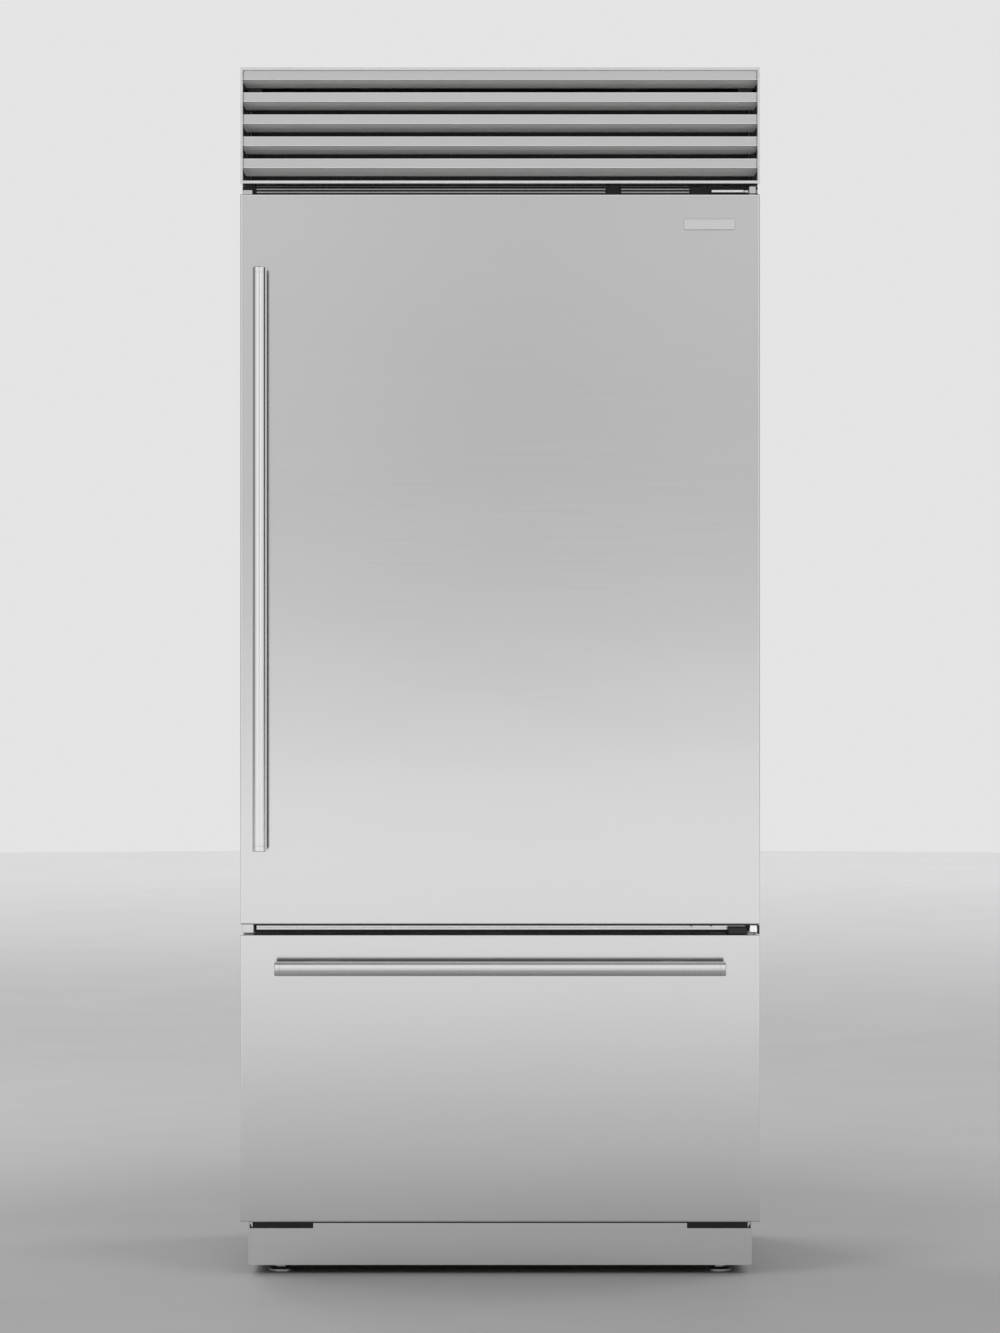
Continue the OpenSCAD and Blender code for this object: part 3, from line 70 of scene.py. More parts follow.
class Wire:
    """Output of a shader node. The signs + - * / on it add Math nodes, and node() adds any other."""

    def __init__(self, tree, socket=None):
        self.tree, self.socket = tree, socket

    def node(self, kind, links=(), out=0, stops=(), **settings):
        """Adds a node: first its settings and a ramp's stops, then the values or links of its sockets."""
        made = self.tree.nodes.new("ShaderNode" + kind)
        for name, value in settings.items():
            setattr(made, name, value)
        if stops:
            ramp = made.color_ramp.elements
            for place, shade in stops[1:-1]:
                ramp.new(place).color = (*grey(shade), 1)
            for end in (0, -1):
                ramp[end].position = stops[end][0]
                ramp[end].color = (*grey(stops[end][1]), 1)
        for name, value in dict(links).items():
            if isinstance(value, Wire):
                self.tree.links.new(value.socket, made.inputs[name])
            else:
                made.inputs[name].default_value = value
        return Wire(self.tree, made.outputs[out])

    def math(self, operation, a, b):
        return self.node("Math", {0: a, 1: b}, operation=operation)

    def __add__(self, other):
        return self.math("ADD", self, other)

    def __radd__(self, other):
        return self.math("ADD", other, self)

    def __sub__(self, other):
        return self.math("SUBTRACT", self, other)

    def __rsub__(self, other):
        return self.math("SUBTRACT", other, self)

    def __mul__(self, other):
        return self.math("MULTIPLY", self, other)

    def __rmul__(self, other):
        return self.math("MULTIPLY", other, self)

    def __truediv__(self, other):
        return self.math("DIVIDE", self, other)

    def __rtruediv__(self, other):
        return self.math("DIVIDE", other, self)

    def parts(self):
        """The three numbers of a place or a direction."""
        split = self.node("SeparateXYZ", {0: self}).socket.node
        return [Wire(self.tree, split.outputs[axis]) for axis in "XYZ"]

    def clipped(self, low, high, to_low=0.0, to_high=1.0):
        """Runs from to_low to to_high as this goes from low to high."""
        return self.node("MapRange", {0: self, 1: low, 2: high, 3: to_low, 4: to_high}, clamp=True)

    def spread(self, low=0.0, high=1.0):
        """Runs from low to high over the middle of a noise, where nearly all of its values lie."""
        return self.clipped(0.3, 0.7, low, high)

    def noise(self, scale, detail=3.0, squeeze=(1, 1, 1), rough=0.5):
        """Noise over this place, which is first multiplied by the factors given."""
        place = self.node("Mapping", {"Vector": self, "Scale": squeeze})
        return place.node("TexNoise", {"Vector": place, "Scale": scale, "Detail": detail, "Roughness": rough})

    def between(self, one, other):
        """A colour between two colours, by this share."""
        ends = [(*end[:3], 1) if isinstance(end, tuple) else end for end in (one, other)]
        return self.node("Mix", {0: self, 6: ends[0], 7: ends[1]}, out=2, data_type="RGBA")

    def relief(self, height):
        """A normal from this pattern: the most it stands out is height, in metres."""
        return self.node("Bump", {"Height": self, "Distance": height})


def finish(name, colour, rough, metal=0.0, **fixed):
    """A material whose shader has these fixed values. Returns it, and a function that links what varies."""
    made = bpy.data.materials.new(name)
    made.use_nodes = True
    tree = made.node_tree
    shader = tree.nodes["Principled BSDF"]
    values = {"Base Color": (*colour, 1), "Roughness": rough, "Metallic": metal}
    values.update({key.replace("_", " ").title().replace("Ior", "IOR"): v for key, v in fixed.items()})
    for key, value in values.items():
        shader.inputs[key].default_value = value
    place = Wire(tree).node("TexCoord", out="Object")

    def vary(**inputs):
        for key, value in inputs.items():
            tree.links.new(value.socket, shader.inputs[key.replace("_", " ").title()])

    return made, place, vary


def dress(material, *pieces):
    """Gives CAD nodes or new pieces one material all over."""
    for piece in pieces:
        thing = nodes[piece] if isinstance(piece, str) else piece
        thing.data.materials.clear()
        thing.data.materials.append(material)


def grid(points, closed_u=False, closed_v=False):
    """Mesh arrays of a surface: points[i, j] are its corners, and each cell becomes one face."""
    rows, columns = points.shape[:2]
    i = np.arange(rows if closed_u else rows - 1)[:, None]
    j = np.arange(columns if closed_v else columns - 1)[None, :]
    a, b = i * columns + j, i * columns + (j + 1) % columns
    c, d = (i + 1) % rows * columns + (j + 1) % columns, (i + 1) % rows * columns + j
    return points.reshape(-1, 3), np.stack([a, b, c, d], -1).reshape(-1, 4)


def piece_of(name, parts):
    """One closed object from the arrays of its surfaces: welded at their edges, with sharp ones kept."""
    weld, crease = 1e-6, math.radians(40.0)
    corners = np.concatenate([p for p, f in parts])
    starts = np.cumsum([0] + [len(p) for p, f in parts[:-1]])
    faces = [face for (p, f), start in zip(parts, starts) for face in (f + start).tolist()]
    shape = bpy.data.meshes.new(name)
    shape.from_pydata(corners.tolist(), [], faces)
    work = bmesh.new()
    work.from_mesh(shape)
    bmesh.ops.remove_doubles(work, verts=work.verts, dist=weld)
    bmesh.ops.recalc_face_normals(work, faces=work.faces)
    work.to_mesh(shape)
    work.free()
    shape.polygons.foreach_set("use_smooth", np.full(len(shape.polygons), True))
    shape.set_sharp_from_angle(angle=crease)
    made = bpy.data.objects.new(name, shape)
    bpy.context.scene.collection.objects.link(made)
    return made


floor_reach = 14.0
floor_paint, place, vary = finish("floor_paint", grey(0.34), 0.6, specular_ior_level=0.2,
                                  emission_strength=1.0)
reach = place.node("VectorMath", {0: place}, out="Value", operation="LENGTH") / floor_reach
# Painted glow by distance: dark close to the refrigerator, a painted shade, and bright far out.
glow_by_reach = [(0.08, 0.0), (0.11, 0.057), (0.16, 0.16), (0.285, 0.278), (0.365, 0.405),
                 (0.475, 0.578), (0.596, 0.744), (0.85, 0.94), (1.0, 0.94)]
far_glow = reach.node("ValToRGB", {0: reach}, stops=glow_by_reach)
# The glow shows only to the camera, in reflections and through clear things; it lights nothing.
seen = [place.node("LightPath", out=f"Is {ray} Ray") for ray in ("Camera", "Glossy", "Transmission")]
in_front = place.parts()[1].clipped(-0.5, 2.0, 1.0, 0.5)
shown = (seen[0] + seen[1] + seen[2]).clipped(0, 1) * in_front
vary(Emission_Color=shown.between(grey(0), far_glow), Roughness=place.noise(3.0).spread(0.55, 0.65))
ring = np.linspace(0, 2 * np.pi, 97)[:-1]
radii = np.array([1e-7, 2.0, 6.0, floor_reach])[:, None]
disc = np.stack([radii * np.cos(ring), radii * np.sin(ring), 0 * radii * ring], -1)
floor = piece_of("studio_floor", [grid(disc, closed_v=True)])
dress(floor_paint, floor)


# Light of the studio
# A wide wall in front, bright low down, darker at the viewer's height and right behind the viewer,
# with dim sides, a black flag at the right and a pale wall at the back. Two broad soft boxes beside
# the viewer and three more behind the doors' plane shine on all sides of the refrigerator.
def soft_box(name, place, aim, size, watts):
    """A rectangular lamp of this size, aimed from its place. The steel shows the walls and not it."""
    lamp = bpy.data.lights.new(name, "AREA")
    lamp.shape, lamp.size, lamp.size_y, lamp.energy = "RECTANGLE", *size, watts
    stand = bpy.data.objects.new(name, lamp)
    stand.location = place
    toward = np.array(aim) - np.array(place)
    stand.rotation_euler = (math.acos(-toward[2] / np.linalg.norm(toward)), 0,
                            math.atan2(toward[1], toward[0]) - math.pi / 2)
    stand.visible_glossy = False
    bpy.context.scene.collection.objects.link(stand)


soft_box("key_box", (-3.4, -4.8, 4.2), (0, 0, 1.0), (2.4, 2.4), 110)
soft_box("fill_box", (3.6, -4.6, 4.0), (0, 0, 1.0), (2.4, 2.4), 80)
soft_box("left_box", (-3.6, 1.6, 2.6), (0, 0, 1.1), (2.0, 2.6), 60)
soft_box("right_box", (3.6, 1.6, 2.6), (0, 0, 1.1), (2.0, 2.6), 60)
soft_box("back_box", (-2.2, 3.4, 3.8), (0, 0, 1.3), (1.4, 1.4), 60)

walls = bpy.data.worlds.new("studio_walls")
walls.use_nodes = True
bpy.context.scene.world = walls
toward = Wire(walls.node_tree).node("TexCoord", out="Generated")
side, depth, height = toward.parts()
rise = height.clipped(-0.25, 0.25)
tone_by_rise = [(0.0, 0.95), (0.36, 1.3), (0.40, 1.24), (0.43, 0.92), (0.46, 0.7), (0.49, 0.48),
                (0.53, 0.41), (0.57, 0.48), (0.62, 0.69), (0.68, 0.62), (0.76, 0.6), (1.0, 0.9)]
ahead = rise.node("ValToRGB", {0: rise}, stops=tone_by_rise)
wall_aside, wall_far, room_tone, flag_tone, ceiling_tone, back_tone = (
    grey(tone) for tone in (1.06, 0.84, 0.27, 0.02, 0.15, 0.78))
off_axis = side * side
aside = (off_axis.clipped(0.004, 0.09) + off_axis.clipped(0, 0.0016) * 0.09
         + (0 - side).clipped(0, 0.04) * 0.05)
near_wall = aside.between(ahead, wall_aside)
front_wall = off_axis.clipped(0.1, 0.6).between(near_wall, wall_far)
toward_front = (side * 0.2 - depth * 0.98).clipped(0.08, 0.32)
beside = depth + 0.1
toward_flag = (beside * beside).clipped(0.012, 0.04, 1.0, 0.0) * side.clipped(0.5, 0.7)
around = toward_flag.between(toward_front.between(room_tone, front_wall), flag_tone)
under_ceiling = height.clipped(0.93, 0.98).between(around, ceiling_tone)
wall_colour = depth.clipped(0.55, 0.9).between(under_ceiling, back_tone)
walls.node_tree.links.new(wall_colour.socket, walls.node_tree.nodes["Background"].inputs["Color"])


# Base
# A welded frame of black painted channels carries the cabinet. Two steel legs in front are turned to
# level it, and two nylon rollers at the back let it roll into its place.
def shaded(colour, factor):
    """The same colour, darker or lighter by a factor."""
    return tuple(c * factor for c in colour)


def painted(name, colour, rough, metal=0.0, **fixed):
    """Powder coat or plating: orange peel, and a colour that varies a little."""
    made, place, vary = finish(name, colour, rough, metal, **fixed)
    vary(Base_Color=place.noise(9.0, 4.0).between(shaded(colour, 0.86), colour),
         Roughness=place.noise(40.0).spread(rough - 0.05, rough + 0.08),
         Normal=place.noise(260.0, 2.0).relief(0.00012))
    return made


def moulded(name, colour, rough, grain=500.0, **fixed):
    """Moulded plastic: an even colour that clouds slightly, and a fine grain from the mould."""
    made, place, vary = finish(name, colour, rough, **fixed)
    fine = place.noise(grain, 2.0)
    vary(Base_Color=place.noise(5.0).between(shaded(colour, 0.95), colour),
         Roughness=fine.spread(rough - 0.04, rough + 0.05), Normal=fine.relief(0.00005))
    return made


zinc = painted("zinc_plate", (0.6, 0.62, 0.64), 0.3, 1.0)
nylon = moulded("nylon_black", grey(0.03), 0.45)
dress(painted("base_black", grey(0.018), 0.45), "base_frame")
dress(zinc, "leg_left", "leg_right")
dress(nylon, "roller_left", "roller_right")


# Cabinet
# Galvanised sheet folded into a shell, with a back panel, a tray under the machine compartment and
# foam blown in between shell and liners. Flat-headed screws hold the back panel in its swages.
def loop(low, high, r=0.0):
    """Points once round a flat rectangle, and the way out at each: mitred corners, or round ones."""
    (a0, b0), (a1, b1) = low, high
    steps = 5
    turn = np.array([(1, 1), (-1, 1), (-1, -1), (1, -1)])
    corner = np.array([(a1, b1), (a0, b1), (a0, b0), (a1, b0)])
    if not r:
        return corner, turn
    angle = (np.arange(4)[:, None] * np.pi / 2 + np.linspace(0, np.pi / 2, steps + 1)).ravel()
    out = np.stack([np.cos(angle), np.sin(angle)], -1)
    return (corner - turn * r).repeat(steps + 1, 0) + r * out, out


def block(low, high, r, axis=1):
    """A box with round edges along one axis, and a small bevel at both of its ends."""
    u, v = [k for k in range(3) if k != axis]
    edge, out = loop((low[u], low[v]), (high[u], high[v]), r)
    bevel = 0.4 * r
    rows = [(low[axis], None), (low[axis], bevel), (low[axis] + bevel, 0), (high[axis] - bevel, 0),
            (high[axis], bevel), (high[axis], None)]
    points = np.empty((len(rows), len(edge), 3))
    for row, (level, inset) in zip(points, rows):
        row[:, axis] = level
        row[:, [u, v]] = (edge.max(0) + edge.min(0)) / 2 if inset is None else edge - out * inset
    return grid(points, closed_v=True)


def bar(profile, low, high, axis=0):
    """A closed profile carried straight along one axis, from low to high, with flat ends."""
    profile = np.array(profile)
    others = [k for k in range(3) if k != axis]
    points = np.empty((4, len(profile), 3))
    points[..., axis] = np.array([low, low, high, high])[:, None]
    points[:, :, others] = profile
    points[0][:, others] = points[3][:, others] = (profile.max(0) + profile.min(0)) / 2
    return grid(points, closed_v=True)


def turned(profile, centre, axis):
    """A profile of (radius, height) turned once round an axis through the centre."""
    steps = 20
    angle = np.linspace(0, 2 * np.pi, steps, endpoint=False)
    radius, height = np.array(profile).T[..., None]
    u, v = [k for k in range(3) if k != axis]
    points = np.empty((len(profile), steps, 3))
    points[..., axis] = centre[axis] + height
    points[..., u] = centre[u] + radius * np.cos(angle)
    points[..., v] = centre[v] + radius * np.sin(angle)
    return grid(points, closed_v=True)


def fit(name, parts, material, body):
    """Makes a new piece of these surfaces that rides on a body and takes its finish from a slot."""
    piece = piece_of(name, parts)
    dress(material, piece)
    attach(piece, body)
    return piece


galvanised, place, vary = finish("galvanised_sheet", (0.5, 0.51, 0.52), 0.4, 0.85)
spangle = place.node("TexVoronoi", {"Vector": place, "Scale": 90.0}, out="Color", distance="CHEBYCHEV")
flake = spangle.node("SeparateColor", {0: spangle})
vary(Base_Color=flake.between((0.5, 0.51, 0.52), (0.59, 0.6, 0.61)),
     Roughness=flake.clipped(0, 1, 0.3, 0.42), Normal=place.noise(3.0).relief(0.0012))
dress(galvanised, "cabinet_wrapper", "back_panel", "machine_tray")

foam, place, vary = finish("rigid_foam", (0.72, 0.62, 0.34), 0.85)
cells = place.noise(900.0, 2.0)
vary(Base_Color=place.noise(7.0).between((0.66, 0.56, 0.3), (0.78, 0.68, 0.4)),
     Roughness=cells.spread(0.75, 0.95), Normal=cells.relief(0.0003))
dress(foam, "cabinet_foam", "door_foam", "drawer_foam")

back_low, back_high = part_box("back_panel")
swage_depth, screw_margin = 0.00075, 0.2
swage_floor = back_high[1] - swage_depth
screw_levels = np.linspace(back_low[2] + screw_margin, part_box("machine_tray")[0][2] - screw_margin, 6)
screw_columns = (-0.33, -0.11, 0.11, 0.33)
screw_head = [(0, 0.0), (0.0040, 0.0), (0.0040, 0.0002), (0.0032, 0.0006), (0.0012, 0.0006),
              (0.0009, 0.0002), (0, 0.0002)]
fit("back_screws", [turned(screw_head, (x, swage_floor, z), 1) for z in screw_levels for x in screw_columns],
    zinc, "cabinet")


# Face frame
# Stainless sheet round the mouth of the cabinet. The two gaps hold black strips, painted shade of the gaps,
# with grey ribs and a dark lip under the grille, darker steel that is partly painted shade; a bright strip
# over the drawer with a bright bead, a painted highlight on its edge; steel blocks at their ends; and the
# covers and caps of the hinges.
def brushed(name, colour, rough, spread, turn):
    """Brushed steel: fine level lines, hardly seen, in a sheet that is never quite flat."""
    made, place, vary = finish(name, colour, rough, 1.0, anisotropic=spread, anisotropic_rotation=turn)
    line_depth, sheet_wave = 0.001, 0.0005
    lines = place.noise(1.0, 4.0, (5.0, 5.0, 1800.0), 0.7)
    clouds = place.noise(1.0, 2.0, (0.9, 0.9, 2.6))
    tone = lines * 0.6 + clouds * 0.4
    vary(Base_Color=tone.spread().between(shaded(colour, 0.975), shaded(colour, 1.02)),
         Roughness=tone.spread(rough - 0.012, rough + 0.014),
         Normal=(lines * line_depth + clouds).relief(sheet_wave))
    return made


frame_steel = brushed("frame_sheet", grey(0.7), 0.13, 0.4, 0.25)
# Black moulding: in the gaps and along the kick plate it is painted shade; on the hinge and the screws it is
# their own black.
strip_black = moulded("strip_black", grey(0.012), 0.5, 900.0)
# Grey and dark steel: painted shade on the gap's ribs and, darker still, on the lip under the grille.
strip_grey = painted("strip_grey", grey(0.36), 0.2, 1.0)
strip_dark = painted("strip_dark", grey(0.1), 0.4, 0.6)
strip_light = painted("strip_light", grey(0.8), 0.14, 1.0)
# Steel brighter than the frame's: on the bead over the drawer and at the ends of the kick plate it is a
# painted highlight.
bead_bright = painted("bead_bright", grey(0.97), 0.1, 1.0)
dress(frame_steel, "face_frame")

door_low, door_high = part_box("door_skin")
upper_low, upper_high = door_high[2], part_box("grille_frame")[0][2]
lower_low, lower_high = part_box("drawer_skin")[1][2], door_low[2]
frame_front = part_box("door_gasket")[1][1] - 0.0003
strip_front = -0.240
shade_front, block_front, bead_front = strip_front + 0.012, strip_front - 0.004, strip_front - 0.0014
strip_left, lower_right, bead_right = -0.430, 0.401, 0.4386
upper_spans = [(strip_left, 0.186), (0.214, 0.334)]
rib_levels, shaded_lip_levels = [(1.9158, 1.9190), (1.9212, 1.9242)], (1.9264, 1.9290)
strip_levels, bead_levels = (0.6146, 0.6204), (0.6199, 0.6222)
room, block_edge = 0.0016, 0.0012


def rib(across, levels, front, round_edge=0.0006):
    """A level strip with a round front edge, carried straight across, from the face frame forward."""
    overlap = 0.0004
    r = min(round_edge, (levels[1] - levels[0]) / 2.2)
    return bar(loop((front, levels[0]), (frame_front + overlap, levels[1]), r)[0], *across)


def gap_block(across, levels, front, r, back=frame_front):
    """A block with round edges, from its front back to the face frame or to another depth."""
    return block((across[0], front, levels[0]), (across[1], back, levels[1]), r)


# Black strips at the back of both gaps: painted shade where the gaps are dark.
fit("upper_gap_black_shade",
    [rib(across=(-0.4556, 0.4556), levels=(upper_low + 0.0018, upper_high - 0.0012), front=shade_front)],
    strip_black, "cabinet")
# Grey ribs: a darker steel, partly painted shade of the gap.
fit("upper_gap_ribs", [rib(span, levels, strip_front) for span in upper_spans for levels in rib_levels],
    strip_grey, "cabinet")
# The lip under the grille is darker still: painted shade under the grille.
fit("upper_gap_shaded_lip", [rib(span, shaded_lip_levels, strip_front) for span in upper_spans],
    strip_dark, "cabinet")
# The same painted shade at the back of the lower gap.
fit("lower_gap_black_shade",
    [rib(across=(-0.4346, lower_right + 0.037), levels=(lower_low + 0.0014, lower_high - room),
         front=shade_front)],
    strip_black, "cabinet")
fit("lower_gap_strip", [rib((strip_left, lower_right), strip_levels, strip_front)],
    strip_light, "cabinet")
# A bead of the brightest steel on the strip's top edge: a painted highlight.
fit("lower_gap_highlight_bead", [rib((strip_left, bead_right), bead_levels, bead_front, round_edge=0.00025)],
    bead_bright, "cabinet")
fit("upper_hinge_edge", [rib(across=(0.3735, 0.4297), levels=(1.9168, 1.9212), front=-0.2460)],
    bead_bright, "cabinet")
fit("gap_end_blocks",
    [gap_block((-0.4555, -0.4352), (lower_low + room, lower_high - room), front=block_front, r=block_edge),
     gap_block((-0.4545, -0.4372), (upper_low + room, 1.9212), front=block_front, r=block_edge),
     gap_block((0.4384, 0.4502), (upper_low + room, 1.9252), front=-0.2716, r=block_edge)],
    frame_steel, "cabinet")
fit("lower_hinge_cover",
    [gap_block((0.4020, 0.4355), (lower_low + 0.0012, 0.6211), front=-0.2694, r=0.0015),
     gap_block((0.4523, 0.4565), (lower_low + 0.0014, 0.6250), front=-0.2725, back=-0.2685, r=0.0006)],
    strip_black, "cabinet")
fit("lower_hinge_cap",
    [gap_block((0.4398, 0.4520), (0.6132, 0.6247), front=-0.2738, back=-0.2700, r=0.0008)],
    bead_bright, "cabinet")
head_half, head_front, head_levels = 0.0018, strip_front - 0.0024, (0.6208, 0.6236)
fit("strip_screws",
    [gap_block((x - head_half, x + head_half), head_levels, front=head_front, back=strip_front, r=0.0007)
     for x in (0.3376, 0.3727)],
    strip_black, "cabinet")


# Liners
# White plastic sheet with a fine satin grain, drawn over a mould by vacuum. One each lines the
# fridge, the freezer, the door and the drawer's front, and holds their foam in.
liner_white = moulded("liner_white", (0.82, 0.83, 0.83), 0.3)
dress(liner_white, "fridge_liner", "freezer_liner", "door_liner", "drawer_liner")


# Inside of the fridge
# Air duct covers, shelf tracks of anodised aluminium, glass shelves in aluminium frames with a satin
# trim in front, and clear drawers with a moulded pull, all hung from the liner.
duct_white = moulded("duct_white", (0.78, 0.79, 0.79), 0.4)
anodised = painted("anodised_shelf", (0.66, 0.67, 0.68), 0.32, 1.0)
satin_trim = painted("satin_trim", (0.72, 0.72, 0.73), 0.24, 1.0)
clear = moulded("clear_styrene", (0.95, 0.98, 0.985), 0.04, transmission_weight=0.9, ior=1.45, alpha=0.5)
dress(duct_white, "duct_covers", "crisper_frame", "ice_maker")
dress(anodised, "shelf_tracks", "shelf_frames")
dress(moulded("shelf_glass", (0.84, 0.96, 0.92), 0.03, transmission_weight=0.95, ior=1.5, alpha=0.7),
      "shelf_glass")
dress(clear, "crisper_left", "crisper_right", "deli_drawer")
dress(moulded("fan_grey", (0.06, 0.06, 0.065), 0.4), "fridge_fan", "freezer_fan")
dress(painted("coil_aluminium", (0.62, 0.63, 0.64), 0.35, 1.0), "evaporators", "condenser")


def trim(front, top, height, lip):
    """Section of a front trim: flat in front, with a round nose and a lip that turns in on top."""
    wall = front + 0.0024
    return [(front, top - height + 0.0015), (front, top - 0.002), (front + 0.0008, top - 0.0006),
            (wall, top), (wall + lip, top), (wall + lip, top - 0.0012), (wall, top - 0.0018),
            (wall, top - height), (front + 0.0012, top - height)]


shelf_low, shelf_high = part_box("shelf_frames")
shelf_tops = [1.1802, 1.3802, 1.5802]
fit("shelf_trims",
    [bar(trim(shelf_low[1] - 0.0025, top + 0.0022, height=0.015, lip=0.008), shelf_low[0] + 0.004,
         shelf_high[0] - 0.004) for top in shelf_tops], satin_trim, "cabinet")
crisper_top, crisper_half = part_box("crisper_frame")[1][2], 0.380
fit("crisper_glass_trim",
    [bar(trim(shelf_low[1] - 0.0012, crisper_top + 0.0024, height=0.014, lip=0.008), -crisper_half,
         crisper_half)], satin_trim, "cabinet")
for drawer in ("crisper_left", "crisper_right", "deli_drawer"):
    low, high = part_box(drawer)
    pull = trim(low[1] - 0.0016, high[2] + 0.001, height=0.022, lip=0.012)
    fit(drawer + "_pull", [bar(pull, low[0] + 0.006, high[0] - 0.006)], satin_trim, drawer)


# Control panel
# A grey moulding under the top of the liner. It has a dark window between its two buttons and a
# frosted lens underneath, which a strip of lamps lights from above.
dress(moulded("panel_grey", (0.5, 0.51, 0.52), 0.3), "control_panel")
dress(moulded("button_white", (0.85, 0.85, 0.84), 0.25), "button_colder", "button_warmer")
panel_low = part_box("control_panel")[0]
button_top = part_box("button_colder")[1][2]
window_half, lens_half = 0.024, 0.3136
lens_front, lens_back = -0.0656, -0.0184
window_glass, place, vary = finish("window_glass", (0.01, 0.011, 0.013), 0.06, coat_weight=0.6)
vary(Roughness=place.noise(60.0).spread(0.05, 0.09))
fit("panel_window", [block((-window_half, panel_low[1] - 0.0008, button_top - 0.0145),
                           (window_half, panel_low[1] + 0.002, button_top + 0.0005), 0.002)],
    window_glass, "cabinet")
lens_lit, place, vary = finish("lens_lit", (0.9, 0.9, 0.88), 0.5, emission_strength=5.0)
vary(Emission_Color=place.noise(30.0).between((0.9, 0.88, 0.84), (1.0, 0.98, 0.94)))
fit("light_lens", [block((-lens_half, lens_front, panel_low[2] - 0.0006),
                         (lens_half, lens_back, panel_low[2] + 0.0037), 0.003, axis=2)],
    lens_lit, "cabinet")


# Inside of the freezer
# White polypropylene bins hang on steel runners. The ice maker drops its ice into a bin, and a wire
# arm feels how full that bin is.
bin_white = moulded("bin_white", (0.84, 0.85, 0.86), 0.25)
dress(bin_white, "freezer_bin", "ice_bin", "upper_basket")
dress(zinc, "runner_outers", "runner_middles", "runner_inners", "ice_arm")


# Machine compartment
# Two black compressors, a finned condenser with its fan in a shroud, copper tubes between them and a
# steel box with the controls, all fixed to the tray over the fridge.
dress(painted("compressor_black", grey(0.012), 0.25, coat_weight=0.4), "compressors")
dress(painted("box_grey", (0.3, 0.31, 0.32), 0.45), "control_box")
dress(painted("copper_tube", (0.83, 0.44, 0.28), 0.28, 1.0), "refrigerant_tubes")
dress(moulded("shroud_black", grey(0.02), 0.5), "fan_shroud", "condenser_fan")


# Door
# A stainless pan filled with foam, a moulded liner with bins of clear styrene, and a magnetic gasket
# of soft rubber. It hangs on two pins in nylon bushes and carries a bare steel plate in a thin dark ring,
# which is painted shadow round its edge.
stainless = brushed("brushed_sheet", grey(0.745), 0.125, 0.65, 0.25)
gasket_rubber = moulded("gasket_black", (0.02, 0.02, 0.021), 0.55, 900.0)
dress(stainless, "door_skin", "drawer_skin")
dress(painted("hinge_steel", (0.78, 0.78, 0.77), 0.22, 1.0), "door_hinges")
dress(nylon, "hinge_bushes")
dress(clear, "door_bins", "dairy_box", "dairy_lid")


def gasket(node, body):
    """Rubber bellows round a door: a magnet pocket on folded lips, carried round a mitred rectangle."""
    low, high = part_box(node)
    back, face, half = low[1], high[1], 0.011
    profile = np.array([
        (-half, back), (-half, back + 0.0014), (-0.0080, back + 0.0024), (-0.0096, back + 0.0042),
        (-0.0084, face - 0.0012), (-0.0060, face), (0.0060, face), (0.0094, face - 0.0010),
        (0.0106, face - 0.0030), (0.0084, back + 0.0030), (half, back + 0.0014), (half, back)])
    corner, out = loop((low[0] + half, low[2] + half), (high[0] - half, high[2] - half))
    points = np.empty((4, len(profile), 3))
    points[..., [0, 2]] = corner[:, None] + out[:, None] * profile[:, :1]
    points[..., 1] = profile[:, 1]
    piece = fit(body + "_bellows", [grid(points, True, True)], gasket_rubber, body)
    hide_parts(node)


gasket("door_gasket", "fridge_door")
bins_low, bins_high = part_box("door_bins")
bin_wall = bins_high[1]


def bin_rim(top):
    """Section of a trim that is slipped over a bin's front wall: a flat strip with one cut corner."""
    return [(bin_wall - 0.004, top - 0.011), (bin_wall - 0.004, top + 0.0016),
            (bin_wall + 0.0006, top + 0.0016), (bin_wall + 0.0016, top + 0.0006),
            (bin_wall + 0.0016, top - 0.011)]


bin_tops = [0.8204, 1.06505, 1.3097, 1.55435]
fit("bin_trims", [bar(bin_rim(top), bins_low[0] + 0.003, bins_high[0] - 0.003) for top in bin_tops],
    satin_trim, "fridge_door")


plate_low, plate_high, plate_corner = (0.3240, 1.8486), (0.4127, 1.8670), 0.002


def plate(steps):
    """A thin upright plate: its edge goes through steps of inset and of height over the door's sheet."""
    edge, out = loop(plate_low, plate_high, plate_corner)
    points = np.empty((len(steps), len(edge), 3))
    for row, (inset, proud) in zip(points, steps):
        row[:, [0, 2]] = (edge.max(0) + edge.min(0)) / 2 if inset is None else edge - out * inset
        row[:, 1] = door_low[1] - proud
    return grid(points, closed_v=True)


shadow_ring_steps = [(0, -0.0004), (-0.0006, 0.0), (-0.0006, 0.0003), (0, 0.0005), (None, 0.0005)]
plate_steps = [(0, 0.0002), (0, 0.0010), (0.0004, 0.0013), (0.0010, 0.0013), (0.0013, 0.0009),
               (None, 0.0009)]
# A dark ring just wider than the plate: painted shadow at its edge.
fit("plate_shadow_ring", [plate(shadow_ring_steps)], strip_dark, "fridge_door")
fit("bare_plate", [plate(plate_steps)], brushed("plate_sheet", grey(0.82), 0.16, 0.5, 0.25),
    "fridge_door")


# Handles
# Drawn stainless tubes with turned end caps, on solid posts screwed through the skins from inside. Their
# front is polished; the side toward the door is rougher and painted dark grey, a painted shade.
def behind(made, depth, colour, rougher=0.0):
    """The same finish in front of a depth, and another colour, rougher by so much, behind it: painted shade
    or painted light on a part's back.
    """
    tree = made.node_tree
    shader = tree.nodes["Principled BSDF"]
    place = Wire(tree, tree.nodes["Texture Coordinate"].outputs["Object"])
    share = place.parts()[1].clipped(depth, depth + 0.003)
    colour_before, rough_before = (Wire(tree, shader.inputs[key].links[0].from_socket)
                                   for key in ("Base Color", "Roughness"))
    tree.links.new(share.between(colour_before, colour).socket, shader.inputs["Base Color"])
    if rougher:
        tree.links.new((rough_before + share * rougher).socket, shader.inputs["Roughness"])
    return made


